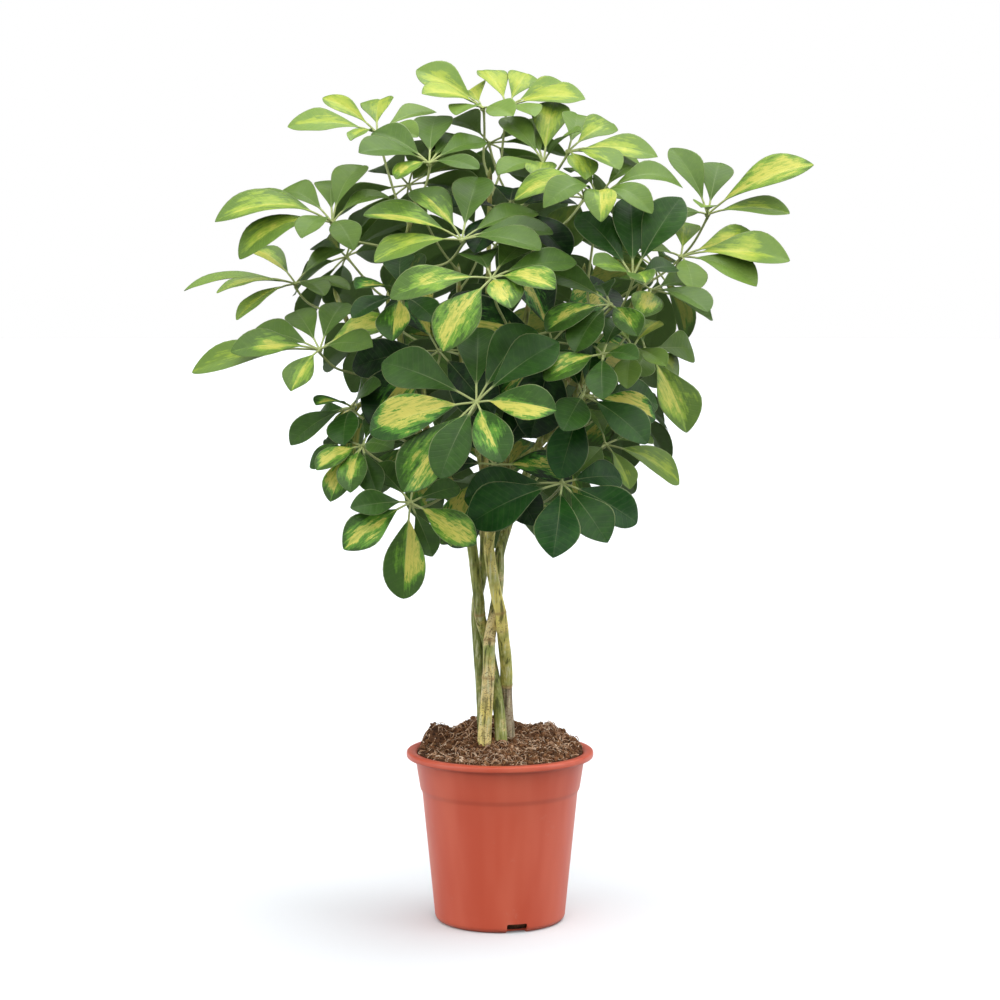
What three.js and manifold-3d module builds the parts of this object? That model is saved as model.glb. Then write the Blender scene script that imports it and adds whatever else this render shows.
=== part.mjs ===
// A potted umbrella plant (Schefflera arboricola, gold-variegated): a plastic nursery pot 21 cm across, soil
// heaped inside it, four slim stems wound round each other, and a round crown of hand-shaped leaves, each with
// its leaf stalk and a whorl of leaflets. Millimetres, +Z up, the viewer of the front looks along +Y.
// The origin is the centre of the pot's flat base, on the ground.
import * as THREE from 'three';
import Module from 'manifold-3d';

const wasm = await Module();
wasm.setup();

// ---------------------------------------------------------------- driving dimensions
const POT = {
  height: 192,
  rimRadius: 105,
  rimDepth: 7.5,
  topRadius: 95, // outside of the wall, just under the rim
  stepHeight: 149.5, // the band above this ring is a little wider
  stepWidth: 2.4,
  bandRadius: 90, // outside of the band, at the step
  baseRadius: 73.5,
  baseCorner: 7,
  wall: 1.8,
  sides: 30,
};
const DRAIN = { count: 3, width: 23, height: 10.5, depth: 16, firstTurn: -75 }; // slots in the foot of the wall
const SOIL = {
  gap: 1, // to the pot's wall, whose sides are flats
  edgeHeight: 190,
  mound: 13, // rise from the edge to the middle
  backRise: 0.09, // rise for each millimetre away from the viewer
  grain: 1.6,
  sides: 28,
  rings: [0.28, 0.52, 0.76, 1],
};
// Lumps on the soil: where, how wide and how high.
const LUMPS = [
  { x: -76, y: 38, spread: 17, rise: 19 },
  { x: -30, y: 52, spread: 26, rise: 12 },
  { x: 0, y: 40, spread: 28, rise: 12 },
  { x: 58, y: 46, spread: 26, rise: 13 },
  { x: 84, y: 14, spread: 13, rise: 7 },
  { x: -30, y: -40, spread: 24, rise: -3 },
];
const TOUCH = 0.35; // gap left where two pieces meet
const STEM_SIDES = 7;
const STEM_STEP = 26; // length of a stem's facets
const SHOOT_SIDES = 6;
const SHOOT_STEP = 42;
const ATTACH_STEP = 12; // places where a leaf may grow, along a shoot
const ATTACH_APART = 13;
const STALK = { radius: 1.9, sides: 4, steps: 4, clear: 8.5, shortest: 48 };
const HUB = { radius: 3.6, half: 1.5, dome: 2.6, taper: 5 };
const BLADE = {
  start: 0.17, // share of the leaflet's length that is its own little stalk
  stalkHalf: 1.3,
  halfThick: 0.75,
  fold: 0.16, // rise of the edges over the midrib, per half width
  stations: [0.3, 0.65, 0.92],
};
const CLEARANCE = { thick: 1.1, wide: 0.9 }; // added round a blade while it is bent clear of the others
const REACH = { lowest: -0.5, highest: 0.8 }; // sine of a leaflet's angle over the plane of its leaf
// Bends tried for each leaflet, in degrees: up or down, and sideways.
const BENDS = [
  [0, 0], [5, 0], [-5, 0], [10, 0], [-10, 0], [0, 6], [0, -6], [15, 0], [-15, 0], [8, 7], [-8, 7], [8, -7],
  [-8, -7], [20, 0], [-20, 0], [26, 0], [-26, 0], [15, 10], [15, -10], [-15, 10], [-15, -10], [32, 0],
  [-32, 0], [24, 14], [24, -14], [-24, 14], [-24, -14], [40, 0], [-40, 0], [12, 24], [12, -24], [-12, 24],
  [-12, -24], [32, 24], [32, -24], [-32, 24], [-32, -24],
];

// The crown is laid out as it is seen from the front: across and up are read on the upright plane through the
// pot's axis, along the sight line from this eye, and depth is the real distance behind that plane.
const EYE = { away: 2600, up: 680 };

// ---------------------------------------------------------------- stems and shoots
// Each stem is [x, y, z] points from the soil to its tip, wound round the others up to the crown.
const STEMS = [
  {
    name: 'stem_a',
    base: 7.5,
    neck: 5.6,
    points: [
      [-17.5, -15, 120], [-17.5, -15, 200], [-14.8, -17, 248], [-12.5, -17, 284], [-11.5, -12.6, 319],
      [-5.8, 0.8, 349], [-2.5, 5.6, 372], [-1, 9, 394], [1, 11, 419], [22, 32, 480], [55, 60, 560], [84, 76, 650],
      [96, 74, 735],
    ],
    shoots: [
      { from: 500, points: [[78, 42, 560], [124, 22, 640], [158, -6, 716]] },
      { from: 590, points: [[96, 104, 630], [118, 128, 690]] },
    ],
  },
  {
    name: 'stem_b',
    base: 7.5,
    neck: 6,
    points: [
      [9.5, 5, 120], [9, 5, 200], [6.6, 5.4, 250], [7, -1.4, 284], [3.8, -11.2, 319], [0.8, -16.4, 347],
      [-3, -16.5, 364], [-7, -15.5, 385], [-11, -15, 408], [-12, -20, 430], [-6, -42, 470], [6, -74, 530],
      [12, -92, 600], [10, -96, 670],
    ],
    shoots: [
      { from: 452, points: [[-46, -76, 490], [-76, -104, 540], [-82, -108, 610]] },
      { from: 505, points: [[48, -84, 545], [84, -94, 600], [104, -96, 672]] },
    ],
  },
  {
    name: 'stem_c',
    base: 6.4,
    neck: 5.6,
    points: [
      [-18.5, 5, 120], [-19, 5, 208], [-21, 7.5, 259], [-23.5, 11, 293], [-25.6, 15, 321], [-26.6, 15.5, 344],
      [-25.5, 13.5, 361], [-21, 12, 383], [-18, 11, 406], [-17, 9, 424], [-18, 6, 480], [-16, 0, 600],
      [-13, -6, 720], [-11, -8, 838],
    ],
    shoots: [
      { from: 500, points: [[-34, 58, 570], [-46, 98, 650], [-48, 116, 736]] },
      { from: 560, points: [[14, 48, 620], [34, 60, 700], [40, 62, 786]] },
    ],
  },
  {
    name: 'stem_d',
    base: 6.6,
    neck: 5.8,
    points: [
      [2, -9, 120], [1.5, -9, 200], [-2.4, -8, 248], [-8, -0.6, 282], [-15.4, 5.6, 317], [-21.8, -2.8, 341],
      [-23.4, -6.5, 361], [-27, -5, 389], [-30.5, -4, 417], [-36, -9, 450], [-60, -26, 504], [-88, -42, 575],
      [-108, -54, 650], [-104, -60, 740], [-92, -60, 800],
    ],
    shoots: [
      { from: 525, points: [[-124, -22, 590], [-158, -22, 650], [-182, -24, 706]] },
      { from: 500, points: [[-96, 18, 560], [-122, 52, 630], [-128, 74, 704]] },
    ],
  },
];
const SHOOT_RADIUS = { base: 4, tip: 2.6 };

// ---------------------------------------------------------------- leaves
// hub: across, depth, up of the point where the leaflets meet. face: the way the leaf looks. tips: how far each
// leaflet's tip lies from the hub, across, in depth and up, all as seen from the front.
const SHOWN_LEAVES = [
  { name: 'front_centre', hub: [-26, -215, 582], face: [-0.1, -0.85, 0.5], wide: 0.48,
    tips: [[-105, 35, 44], [2, 60, 83], [62, 45, 83], [92, 30, 62], [89, -45, -9], [29, -65, -67],
      [-41, -45, -85], [-82, -20, -100], [-119, 0, -33]] },
  { name: 'front_upper', hub: [-9, -190, 719], face: [0, -0.62, 0.78], wide: 0.5,
    tips: [[-113, -25, -22], [-54, -60, -81], [22, -70, -33], [72, -55, -19], [94, 10, 17], [40, 75, 39],
      [-21, 80, 34]] },
  { name: 'upper_centre', hub: [-42, -140, 761], face: [0, -0.5, 0.86], wide: 0.5,
    tips: [[-109, 0, 28], [-97, -40, -24], [-52, 55, 56], [18, 65, 69], [83, 45, 30], [101, -5, 7],
      [87, -50, -11]] },
  { name: 'upper_left', hub: [-78, -80, 845], face: [-0.1, -0.62, 0.78], wide: 0.56,
    tips: [[-78, -55, 12], [-62, 30, 34], [8, 65, 52], [40, 65, 28], [63, 35, 18], [-37, -65, -17],
      [55, -50, -6]] },
  { name: 'top_left', hub: [-135, -10, 878], face: [-0.2, -0.6, 0.77], wide: 0.5,
    tips: [[-60, 30, 39], [-99, -10, 7], [-29, -70, -8], [3, 70, 37], [65, 45, 23], [45, -50, -4]] },
  { name: 'apex_left', hub: [-19, 0, 905], face: [-0.25, -0.62, 0.74], wide: 0.56,
    tips: [[-73, 10, 42], [-67, -45, 16], [-29, -60, -7], [-15, 70, 20], [34, -52, -8]] },
  { name: 'apex_right', hub: [8, 12, 906], face: [0.2, -0.6, 0.78], wide: 0.54,
    tips: [[-26, 45, 41], [22, 50, 37], [69, 25, 22], [86, -20, 9], [30, -60, -10]] },
  { name: 'top_right', hub: [48, -50, 845], face: [0, -0.5, 0.85], wide: 0.52,
    tips: [[-46, 35, 50], [-21, 50, 59], [12, 50, 68], [60, -40, -10], [-50, -50, -12], [-6, -65, -22]] },
  { name: 'right_crown', hub: [75, -78, 858], face: [0.25, -0.6, 0.76], wide: 0.5,
    tips: [[49, 50, 31], [99, -10, -6], [57, -60, -20], [20, -62, -31], [8, 60, 36], [80, 40, -16]] },
  { name: 'arched_right', hub: [108, -120, 805], face: [0, -0.6, 0.8], wide: 0.46, arch: 0.26,
    tips: [[-92, -30, 0], [-60, -65, -9], [3, -75, -24], [94, 20, 13], [55, 55, 31], [60, -55, -15],
      [-30, 60, 30]] },
  { name: 'far_right', hub: [229, -10, 789], face: [0.1, -0.55, 0.83], wide: 0.48,
    tips: [[-41, 30, 73], [13, 55, 57], [87, 20, 44], [123, -5, 37], [91, -30, 1], [-7, -60, 8],
      [-50, -40, -5]] },
  { name: 'right_middle', hub: [200, -60, 743], face: [0.2, -0.62, 0.76], wide: 0.52,
    tips: [[92, 25, 14], [120, -10, -13], [84, -45, -33], [14, -60, -39], [3, 60, 38], [-45, 40, -5]] },
  { name: 'dark_right', hub: [147, -165, 720], face: [0, -0.75, 0.65], wide: 0.48,
    tips: [[-61, 35, 70], [-4, 35, 88], [54, 30, 84], [-44, -55, 14], [14, -65, -6], [48, 40, 10]] },
  { name: 'right_lower', hub: [167, -98, 706], face: [0.25, -0.55, 0.8], wide: 0.52,
    tips: [[64, -65, -24], [44, 45, 6], [-11, -65, -31], [69, 20, -33], [-40, 50, 0]] },
  { name: 'centre_right', hub: [122, -138, 690], face: [-0.1, -0.6, 0.78], wide: 0.5,
    tips: [[-71, -45, -30], [-39, -55, -53], [-78, 25, 38], [-20, 65, 20], [30, -55, -35]] },
  { name: 'left_front', hub: [-200, -110, 640], face: [-0.1, -0.7, 0.7], wide: 0.48,
    tips: [[-27, 60, 43], [28, 55, 52], [80, 20, 31], [59, -55, 3], [-32, -55, -46], [-142, 10, -25],
      [-99, -25, -2], [-75, 35, 19]] },
  { name: 'left_upper', hub: [-185, -60, 780], face: [-0.1, -0.5, 0.86], wide: 0.5, arch: 0.18,
    tips: [[-130, -20, 1], [-114, 15, 14], [-61, 60, 31], [-103, -45, -40], [-34, -65, -17], [2, 60, 46],
      [34, 45, 63], [63, 25, 28], [24, -60, -30]] },
  { name: 'far_left', hub: [-226, 0, 713], face: [0, -0.32, 0.94], wide: 0.44,
    tips: [[-124, 5, -8], [-88, -45, -10], [-66, -58, -40], [-49, 50, 39], [54, 45, 38], [32, -65, -13],
      [60, -35, -7]] },
  { name: 'left_shaded', hub: [-109, -120, 700], face: [-0.2, -0.6, 0.78], wide: 0.52,
    tips: [[-51, -60, 7], [-55, -30, -25], [-10, -60, -50], [40, -45, -30], [0, 55, 45]] },
  { name: 'lower_left', hub: [-164, -90, 576], face: [-0.3, -0.65, 0.7], wide: 0.52,
    tips: [[-69, -30, -42], [-38, -50, 14], [-10, -65, -42], [-33, 45, -24], [32, -45, 25], [40, 40, -20]] },
  { name: 'lower_left_front', hub: [-153, -140, 533], face: [-0.2, -0.75, 0.62], wide: 0.46,
    tips: [[-50, -50, -16], [-36, -40, -62], [-14, -62, -52], [-59, 25, -22], [34, -60, -3], [11, -55, -42],
      [-41, 40, 8], [20, 50, 30]] },
  { name: 'low_front_left', hub: [-100, -180, 470], face: [0, -0.85, 0.5], wide: 0.48,
    tips: [[-75, -35, -52], [-8, -20, -108], [73, -30, -47], [13, 35, -48], [-67, -30, -6], [-39, 45, 42],
      [55, 25, 18], [10, 50, 45]] },
  { name: 'low_front_right', hub: [69, -160, 492], face: [0.05, -0.82, 0.55], wide: 0.54,
    tips: [[-105, -20, -47], [-10, -60, -84], [51, -45, -67], [84, 0, -45], [-109, 30, -17], [66, 35, 6],
      [0, 50, 50]] },
  { name: 'right_front', hub: [92, -150, 589], face: [0.2, -0.8, 0.55], wide: 0.5,
    tips: [[81, 10, -26], [72, -45, -53], [83, 40, -9], [-22, -75, -39], [-26, -30, -92], [-28, 45, 50],
      [34, 45, 40]] },
  { name: 'right_drooping', hub: [161, -50, 640], face: [0.42, -0.8, 0.42], wide: 0.54,
    tips: [[47, -45, -92], [53, 55, 0], [-13, -60, -28], [11, 50, -33], [-20, 40, 30]] },
  { name: 'right_pale', hub: [147, -120, 642], face: [-0.1, -0.6, 0.78], wide: 0.5,
    tips: [[-24, 46, 34], [-38, -48, -11], [28, 42, 30], [38, -42, -20], [-6, -46, -45]] },
  { name: 'right_bottom', hub: [117, -60, 535], face: [0.4, -0.6, 0.7], wide: 0.52,
    tips: [[83, 20, -43], [28, -30, -50], [50, 50, 10], [-30, -50, -30], [-20, 50, 40]] },
  { name: 'right_inner', hub: [114, -178, 635], face: [-0.1, -0.7, 0.7], wide: 0.52,
    tips: [[-61, -50, -11], [-40, 50, 25], [0, -50, -50], [40, -40, -5], [20, 45, 40]] },
];
// The leaves at the back and inside the crown are even whorls. hub is the real place here, reach is the
// leaflets' length, turn is where the first one points and droop is how far they hang below the leaf's plane.
const WHORLS = [
  { name: 'inner_left', hub: [-66, -70, 640], face: [-0.3, -0.8, 0.5],
    reach: 108, count: 6, turn: 10, droop: 14 },
  { name: 'inner_right', hub: [56, -76, 650], face: [0.2, -0.8, 0.5],
    reach: 108, count: 6, turn: 40, droop: 14 },
  { name: 'inner_low', hub: [-6, -118, 520], face: [0, -0.75, 0.6],
    reach: 90, count: 6, turn: 0, droop: 16 },
  { name: 'inner_top', hub: [10, -90, 790], face: [0, -0.4, 0.9],
    reach: 84, count: 5, turn: 20, droop: 12 },
  { name: 'back_top', hub: [-12, 70, 872], face: [-0.1, 0.35, 0.93],
    reach: 92, count: 7, turn: 12, droop: 12 },
  { name: 'back_top_left', hub: [-104, 84, 826], face: [-0.35, 0.45, 0.82],
    reach: 98, count: 7, turn: 30, droop: 14 },
  { name: 'back_top_right', hub: [96, 92, 812], face: [0.35, 0.45, 0.82],
    reach: 98, count: 7, turn: 5, droop: 14 },
  { name: 'back_left', hub: [-176, 92, 745], face: [-0.65, 0.35, 0.68],
    reach: 98, count: 7, turn: 20, droop: 15 },
  { name: 'back_right', hub: [178, 92, 732], face: [0.6, 0.45, 0.66],
    reach: 98, count: 7, turn: 45, droop: 15 },
  { name: 'back_upper', hub: [-20, 168, 772], face: [0, 0.7, 0.7],
    reach: 104, count: 8, turn: 15, droop: 15 },
  { name: 'back_mid_left', hub: [-126, 176, 668], face: [-0.45, 0.75, 0.5],
    reach: 108, count: 8, turn: 35, droop: 16 },
  { name: 'back_mid_right', hub: [108, 188, 676], face: [0.4, 0.78, 0.5],
    reach: 108, count: 8, turn: 0, droop: 16 },
  { name: 'back_centre', hub: [-8, 226, 634], face: [0, 0.9, 0.42],
    reach: 112, count: 9, turn: 22, droop: 16 },
  { name: 'side_left', hub: [-142, 66, 588], face: [-0.75, 0.45, 0.5],
    reach: 96, count: 7, turn: 10, droop: 16 },
  { name: 'side_right', hub: [140, 76, 580], face: [0.72, 0.5, 0.5],
    reach: 96, count: 7, turn: 30, droop: 16 },
  { name: 'back_low_left', hub: [-78, 172, 530], face: [-0.35, 0.8, 0.5],
    reach: 100, count: 8, turn: 5, droop: 18 },
  { name: 'back_low_right', hub: [68, 180, 522], face: [0.3, 0.82, 0.5],
    reach: 100, count: 8, turn: 28, droop: 18 },
  { name: 'back_bottom', hub: [-4, 104, 468], face: [0, 0.6, 0.75],
    reach: 86, count: 7, turn: 12, droop: 12 },
];
const WHORL_WIDE = 0.54;
const USUAL_ARCH = 0.1;

// ---------------------------------------------------------------- small helpers
const V = (x, y, z) => new THREE.Vector3(x, y, z);
const vector = (list) => new THREE.Vector3(...list);
const mix = (a, b, share) => a.clone().lerp(b, share);
const rad = THREE.MathUtils.degToRad;
// A number from -1 to 1 that is always the same for the same two counts.
const vary = (a, b) => Math.sin(12.9898 * a + 78.233 * b);

// A surface is a list of points and of triangles that name them.
class Surface {
  constructor() {
    this.points = [];
    this.triangles = [];
  }

  put(point) {
    return this.points.push(point) - 1;
  }

  ring(points) {
    return points.map((point) => this.put(point));
  }

  face(a, b, c) {
    this.triangles.push(a, b, c);
  }

  // Joins two rings of as many points each.
  band(near, far) {
    near.forEach((a, i) => {
      const next = (i + 1) % near.length;
      this.face(a, near[next], far[next]);
      this.face(a, far[next], far[i]);
    });
  }

  // Joins two rings of different counts.
  stitch(near, far) {
    let i = 0;
    let j = 0;
    while (i < near.length || j < far.length) {
      const [a, b] = [near[i % near.length], far[j % far.length]];
      if (j === far.length || (i < near.length && (i + 1) / near.length <= (j + 1) / far.length)) {
        i += 1;
        this.face(a, near[i % near.length], b);
      } else {
        j += 1;
        this.face(a, far[j % far.length], b);
      }
    }
  }

  // Closes a ring with a fan to one point.
  cone(ring, point, facesBack = false) {
    const apex = this.put(point);
    ring.forEach((a, i) => {
      const b = ring[(i + 1) % ring.length];
      if (facesBack) this.face(b, a, apex);
      else this.face(a, b, apex);
    });
  }

  geometry() {
    return new THREE.BufferGeometry().setFromPoints(this.points).setIndex(this.triangles);
  }

  solid() {
    const vertProperties = new Float32Array(this.points.flatMap((p) => [p.x, p.y, p.z]));
    const triVerts = new Uint32Array(this.triangles);
    return new wasm.Manifold(new wasm.Mesh({ numProp: 3, vertProperties, triVerts }));
  }
}

// A three.js geometry as a solid, its seams merged by place.
function solidOf(geometry) {
  const source = geometry.index ? geometry.toNonIndexed() : geometry;
  const position = source.getAttribute('position');
  const surface = new Surface();
  const known = new Map();
  for (let i = 0; i < position.count; i += 1) {
    const point = new THREE.Vector3().fromBufferAttribute(position, i);
    const key = point.toArray().map((value) => Math.round(value * 1e4)).join();
    if (!known.has(key)) known.set(key, surface.put(point));
    surface.triangles.push(known.get(key));
  }
  const kept = [];
  for (let i = 0; i < surface.triangles.length; i += 3) {
    const [a, b, c] = surface.triangles.slice(i, i + 3);
    if (a !== b && b !== c && c !== a) kept.push(a, b, c);
  }
  surface.triangles = kept;
  return surface.solid();
}

function geometryOf(solid) {
  const mesh = solid.getMesh();
  const geometry = new THREE.BufferGeometry();
  const places = new Float32Array(mesh.numVert * 3);
  for (let i = 0; i < mesh.numVert; i += 1) {
    places.set(mesh.vertProperties.subarray(i * mesh.numProp, i * mesh.numProp + 3), i * 3);
  }
  return geometry.setAttribute('position', new THREE.BufferAttribute(places, 3))
    .setIndex(new THREE.BufferAttribute(mesh.triVerts, 1));
}

const plant = new THREE.Group();
function addMesh(name, geometry, material) {
  const mesh = new THREE.Mesh(geometry, material);
  mesh.name = name;
  plant.add(mesh);
}

const materials = {
  pot: new THREE.MeshStandardMaterial({ color: 0xc45f45, roughness: 0.55, metalness: 0 }),
  soil: new THREE.MeshStandardMaterial({ color: 0x4a3428, roughness: 1, metalness: 0 }),
  bark: new THREE.MeshStandardMaterial({ color: 0x8f9457, roughness: 0.75, metalness: 0 }),
  leaf: new THREE.MeshStandardMaterial({ color: 0x2f6b2c, roughness: 0.4, metalness: 0 }),
};

// ---------------------------------------------------------------- pot
const innerBase = POT.baseRadius - POT.wall;

function potProfile() {
  const { height, wall, baseCorner: corner, baseRadius } = POT;
  const lipFoot = height - POT.rimDepth;
  const outline = [[0, 0], [baseRadius - corner, 0], [baseRadius - corner * 0.29, corner * 0.29],
    [baseRadius, corner], [POT.bandRadius - POT.stepWidth, POT.stepHeight - 2], [POT.bandRadius, POT.stepHeight + 1],
    [POT.topRadius, lipFoot], [POT.rimRadius - 2, lipFoot], [POT.rimRadius, lipFoot + 2.2],
    [POT.rimRadius, height - 2.4], [POT.rimRadius - 2.4, height], [POT.topRadius + 2, height],
    [POT.topRadius - wall, height - 2.5], [POT.bandRadius - wall, POT.stepHeight + 2],
    [POT.bandRadius - POT.stepWidth - wall, POT.stepHeight - 1], [innerBase, corner], [innerBase - corner * 0.6, wall],
    [0, wall]];
  return outline.map(([radius, z]) => new THREE.Vector2(radius, z));
}

function makePot() {
  const lathe = new THREE.LatheGeometry(potProfile(), POT.sides);
  lathe.rotateX(Math.PI / 2); // three.js turns a profile round Y
  let pot = solidOf(lathe);
  for (let i = 0; i < DRAIN.count; i += 1) {
    const slot = new THREE.BoxGeometry(DRAIN.depth, DRAIN.width, DRAIN.height * 2);
    slot.translate(POT.baseRadius - DRAIN.depth / 2 + 6, 0, 0);
    slot.rotateZ(rad(DRAIN.firstTurn + (360 / DRAIN.count) * i));
    pot = pot.subtract(solidOf(slot));
  }
  return pot;
}

// ---------------------------------------------------------------- tubes along a path
// Points along a path, about a step apart, each with its direction and its share of the whole length.
function sample(points, step) {
  const curve = new THREE.CatmullRomCurve3(points.map(vector), false, 'catmullrom', 0.5);
  const count = Math.max(2, Math.round(curve.getLength() / step));
  return Array.from({ length: count + 1 }, (_, i) => ({
    at: curve.getPoint(i / count),
    along: curve.getTangent(i / count),
    share: i / count,
  }));
}

// A closed tube through the samples; radius is a function of the sample.
function tube(samples, radius, sides) {
  const surface = new Surface();
  let across = V(1, 0, 0);
  const rings = samples.map((s) => {
    across = across.clone().projectOnPlane(s.along).normalize();
    const other = s.along.clone().cross(across);
    return surface.ring(Array.from({ length: sides }, (_, k) => {
      const turn = (2 * Math.PI * k) / sides;
      return s.at.clone().addScaledVector(across, radius(s) * Math.cos(turn))
        .addScaledVector(other, radius(s) * Math.sin(turn));
    }));
  });
  rings.slice(1).forEach((ring, i) => surface.band(rings[i], ring));
  surface.cone(rings[0], samples[0].at, true);
  surface.cone(rings.at(-1), samples.at(-1).at);
  return surface;
}

const crownFoot = 424; // where the stems leave each other

function stemRadius(stem, extra) {
  return (s) => {
    const z = s.at.z;
    if (z > crownFoot) {
      const rise = Math.min(1, (z - crownFoot) / 320);
      return stem.neck + (SHOOT_RADIUS.tip - stem.neck) * rise + extra;
    }
    const down = (crownFoot - z) / 220;
    return stem.neck + (stem.base - stem.neck) * Math.min(1, down) + extra;
  };
}

const shootRadius = (s) => SHOOT_RADIUS.base + (SHOOT_RADIUS.tip - SHOOT_RADIUS.base) * s.share;

// Places along a faceted tube's own middle line.
function placesAlong(samples, radius) {
  return samples.slice(1).flatMap((next, i) => {
    const last = samples[i];
    const facet = next.at.clone().sub(last.at);
    const count = Math.max(1, Math.round(facet.length() / ATTACH_STEP));
    return Array.from({ length: count }, (_, k) => {
      const share = (k + 0.5) / count;
      const size = radius(last) + (radius(next) - radius(last)) * share;
      return { at: mix(last.at, next.at, share), along: facet.clone().normalize(), radius: size };
    });
  });
}

// Every path that leaves can grow from, with the stem's radius there.
const shootPaths = [];

function makeStem(stem) {
  const main = sample(stem.points, STEM_STEP);
  let solid = tube(main, stemRadius(stem, 0), STEM_SIDES).solid();
  const places = placesAlong(main, stemRadius(stem, 0));
  shootPaths.push(places.filter((place) => place.at.z > crownFoot + 10));
  for (const shoot of stem.shoots) {
    const root = places.find((place) => place.at.z >= shoot.from).at.toArray();
    const samples = sample([root, ...shoot.points], SHOOT_STEP);
    solid = solid.add(tube(samples, shootRadius, SHOOT_SIDES).solid());
    shootPaths.push(placesAlong(samples, shootRadius).slice(2));
  }
  return solid;
}

function plantingHole(stem) {
  const samples = sample(stem.points, STEM_STEP);
  samples[0].at.z -= TOUCH;
  return tube(samples, stemRadius(stem, TOUCH), STEM_SIDES).solid();
}

// ---------------------------------------------------------------- soil
const soilRadii = [
  [innerBase - POT.baseCorner - SOIL.gap, POT.wall + TOUCH],
  [innerBase - SOIL.gap, POT.baseCorner + 2],
  [POT.bandRadius - POT.stepWidth - POT.wall - SOIL.gap, POT.stepHeight - 2],
  [POT.bandRadius - POT.wall - SOIL.gap, POT.stepHeight + 6],
];

function soilHeight(x, y) {
  const radius = Math.hypot(x, y) / (POT.topRadius - POT.wall);
  let z = SOIL.edgeHeight + SOIL.mound * Math.max(0, 1 - radius ** 2);
  z += SOIL.backRise * y * Math.max(0, 1 - radius ** 4);
  for (const lump of LUMPS) {
    z += lump.rise * Math.exp(-((x - lump.x) ** 2 + (y - lump.y) ** 2) / lump.spread ** 2);
  }
  const ripple = Math.sin(0.31 * x + 1.1 * Math.sin(0.17 * y)) * Math.cos(0.27 * y);
  return z + SOIL.grain * ripple * Math.min(1, 3 * (1 - radius));
}

function makeSoil(stemHoles) {
  const surface = new Surface();
  const circle = (radius, height) => surface.ring(Array.from({ length: SOIL.sides }, (_, k) => {
    const turn = (2 * Math.PI * k) / SOIL.sides;
    const [x, y] = [radius * Math.cos(turn), radius * Math.sin(turn)];
    return V(x, y, height ?? soilHeight(x, y));
  }));
  const topRadius = POT.topRadius - POT.wall - SOIL.gap;
  const sideRings = soilRadii.map(([radius, z]) => circle(radius, z));
  const topRings = SOIL.rings.toReversed().map((share) => circle(topRadius * share));
  const rings = [...sideRings, ...topRings];
  rings.slice(1).forEach((ring, i) => surface.band(rings[i], ring));
  surface.cone(rings[0], V(0, 0, soilRadii[0][1]), true);
  surface.cone(rings.at(-1), V(0, 0, soilHeight(0, 0)));
  return stemHoles.reduce((soil, hole) => soil.subtract(hole), surface.solid());
}

// ---------------------------------------------------------------- leaves: where each one is
// A point given as it is seen from the front, as a real place.
function seen([across, depth, up]) {
  const scale = (EYE.away + depth) / EYE.away;
  return V(across * scale, depth, EYE.up + (up - EYE.up) * scale);
}

function shownLeaf(row) {
  const hub = seen(row.hub);
  const tips = row.tips.map((tip) => seen(row.hub.map((value, k) => value + tip[k])).sub(hub));
  return { ...row, arch: row.arch ?? USUAL_ARCH, hub, face: vector(row.face).normalize(), tips };
}

// Two directions across a leaf's face.
function faceAxes(face) {
  const level = Math.abs(face.z) < 0.95 ? V(0, 0, 1) : V(0, 1, 0);
  const side = level.clone().cross(face).normalize();
  return [side, face.clone().cross(side)];
}

function whorl(row, order) {
  const face = vector(row.face).normalize();
  const [side, other] = faceAxes(face);
  const tips = Array.from({ length: row.count }, (_, i) => {
    const turn = rad(row.turn + (360 * i) / row.count + 6 * vary(order, i));
    const droop = rad(row.droop + 7 * vary(i, order + 3));
    const length = row.reach * (1 + 0.1 * vary(order + 5, i));
    return side.clone().multiplyScalar(Math.cos(turn)).addScaledVector(other, Math.sin(turn))
      .multiplyScalar(Math.cos(droop) * length).addScaledVector(face, -Math.sin(droop) * length);
  });
  return { ...row, wide: WHORL_WIDE, arch: USUAL_ARCH, hub: vector(row.hub), face, tips };
}

// ---------------------------------------------------------------- leaf stalks
function stalkPath(leaf, place) {
  const span = leaf.hub.clone().sub(place.at);
  const out = span.clone().projectOnPlane(place.along).normalize();
  const start = place.at.clone().addScaledVector(out, place.radius + TOUCH);
  const rise = out.clone().multiplyScalar(0.6).addScaledVector(place.along, 0.4)
    .multiplyScalar(0.35 * span.length());
  const end = leaf.hub.clone().addScaledVector(leaf.face, -HUB.half);
  const curve = new THREE.CubicBezierCurve3(start, start.clone().add(rise),
    end.clone().addScaledVector(leaf.face, -0.32 * span.length()), end);
  return { curve, out, points: Array.from({ length: 13 }, (_, i) => curve.getPoint(i / 12)) };
}

function isStalkClear(points, stalks) {
  const nearStem = points.slice(2).some((p) => shootPaths.some((path) => path
    .some((s) => p.distanceTo(s.at) < s.radius + STALK.clear * 0.7)));
  return !nearStem && !points.some((p) => stalks.some((other) => other.points
    .some((q) => p.distanceTo(q) < STALK.clear)));
}

// Each leaf grows from the nearest free place on a shoot that lies below it and whose stalk meets no other.
function growStalks(leaves) {
  const stalks = [];
  for (const leaf of leaves) {
    const places = [];
    shootPaths.forEach((path, shoot) => path.forEach((place) => {
      const distance = leaf.hub.distanceTo(place.at);
      const above = Math.max(0, place.at.z + 35 - leaf.hub.z);
      const taken = stalks.some((s) => s.shoot === shoot && s.place.at.distanceTo(place.at) < ATTACH_APART);
      if (distance >= STALK.shortest && !taken) places.push({ ...place, shoot, cost: distance + 1.2 * above });
    }));
    places.sort((a, b) => a.cost - b.cost);
    const paths = places.map((place) => ({ place, shoot: place.shoot, ...stalkPath(leaf, place) }));
    const free = paths.find((path) => isStalkClear(path.points, stalks));
    if (!free) throw new Error(`${leaf.name} has no clear way for its stalk`);
    stalks.push(free);
    leaf.stalk = free;
  }
}

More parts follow.
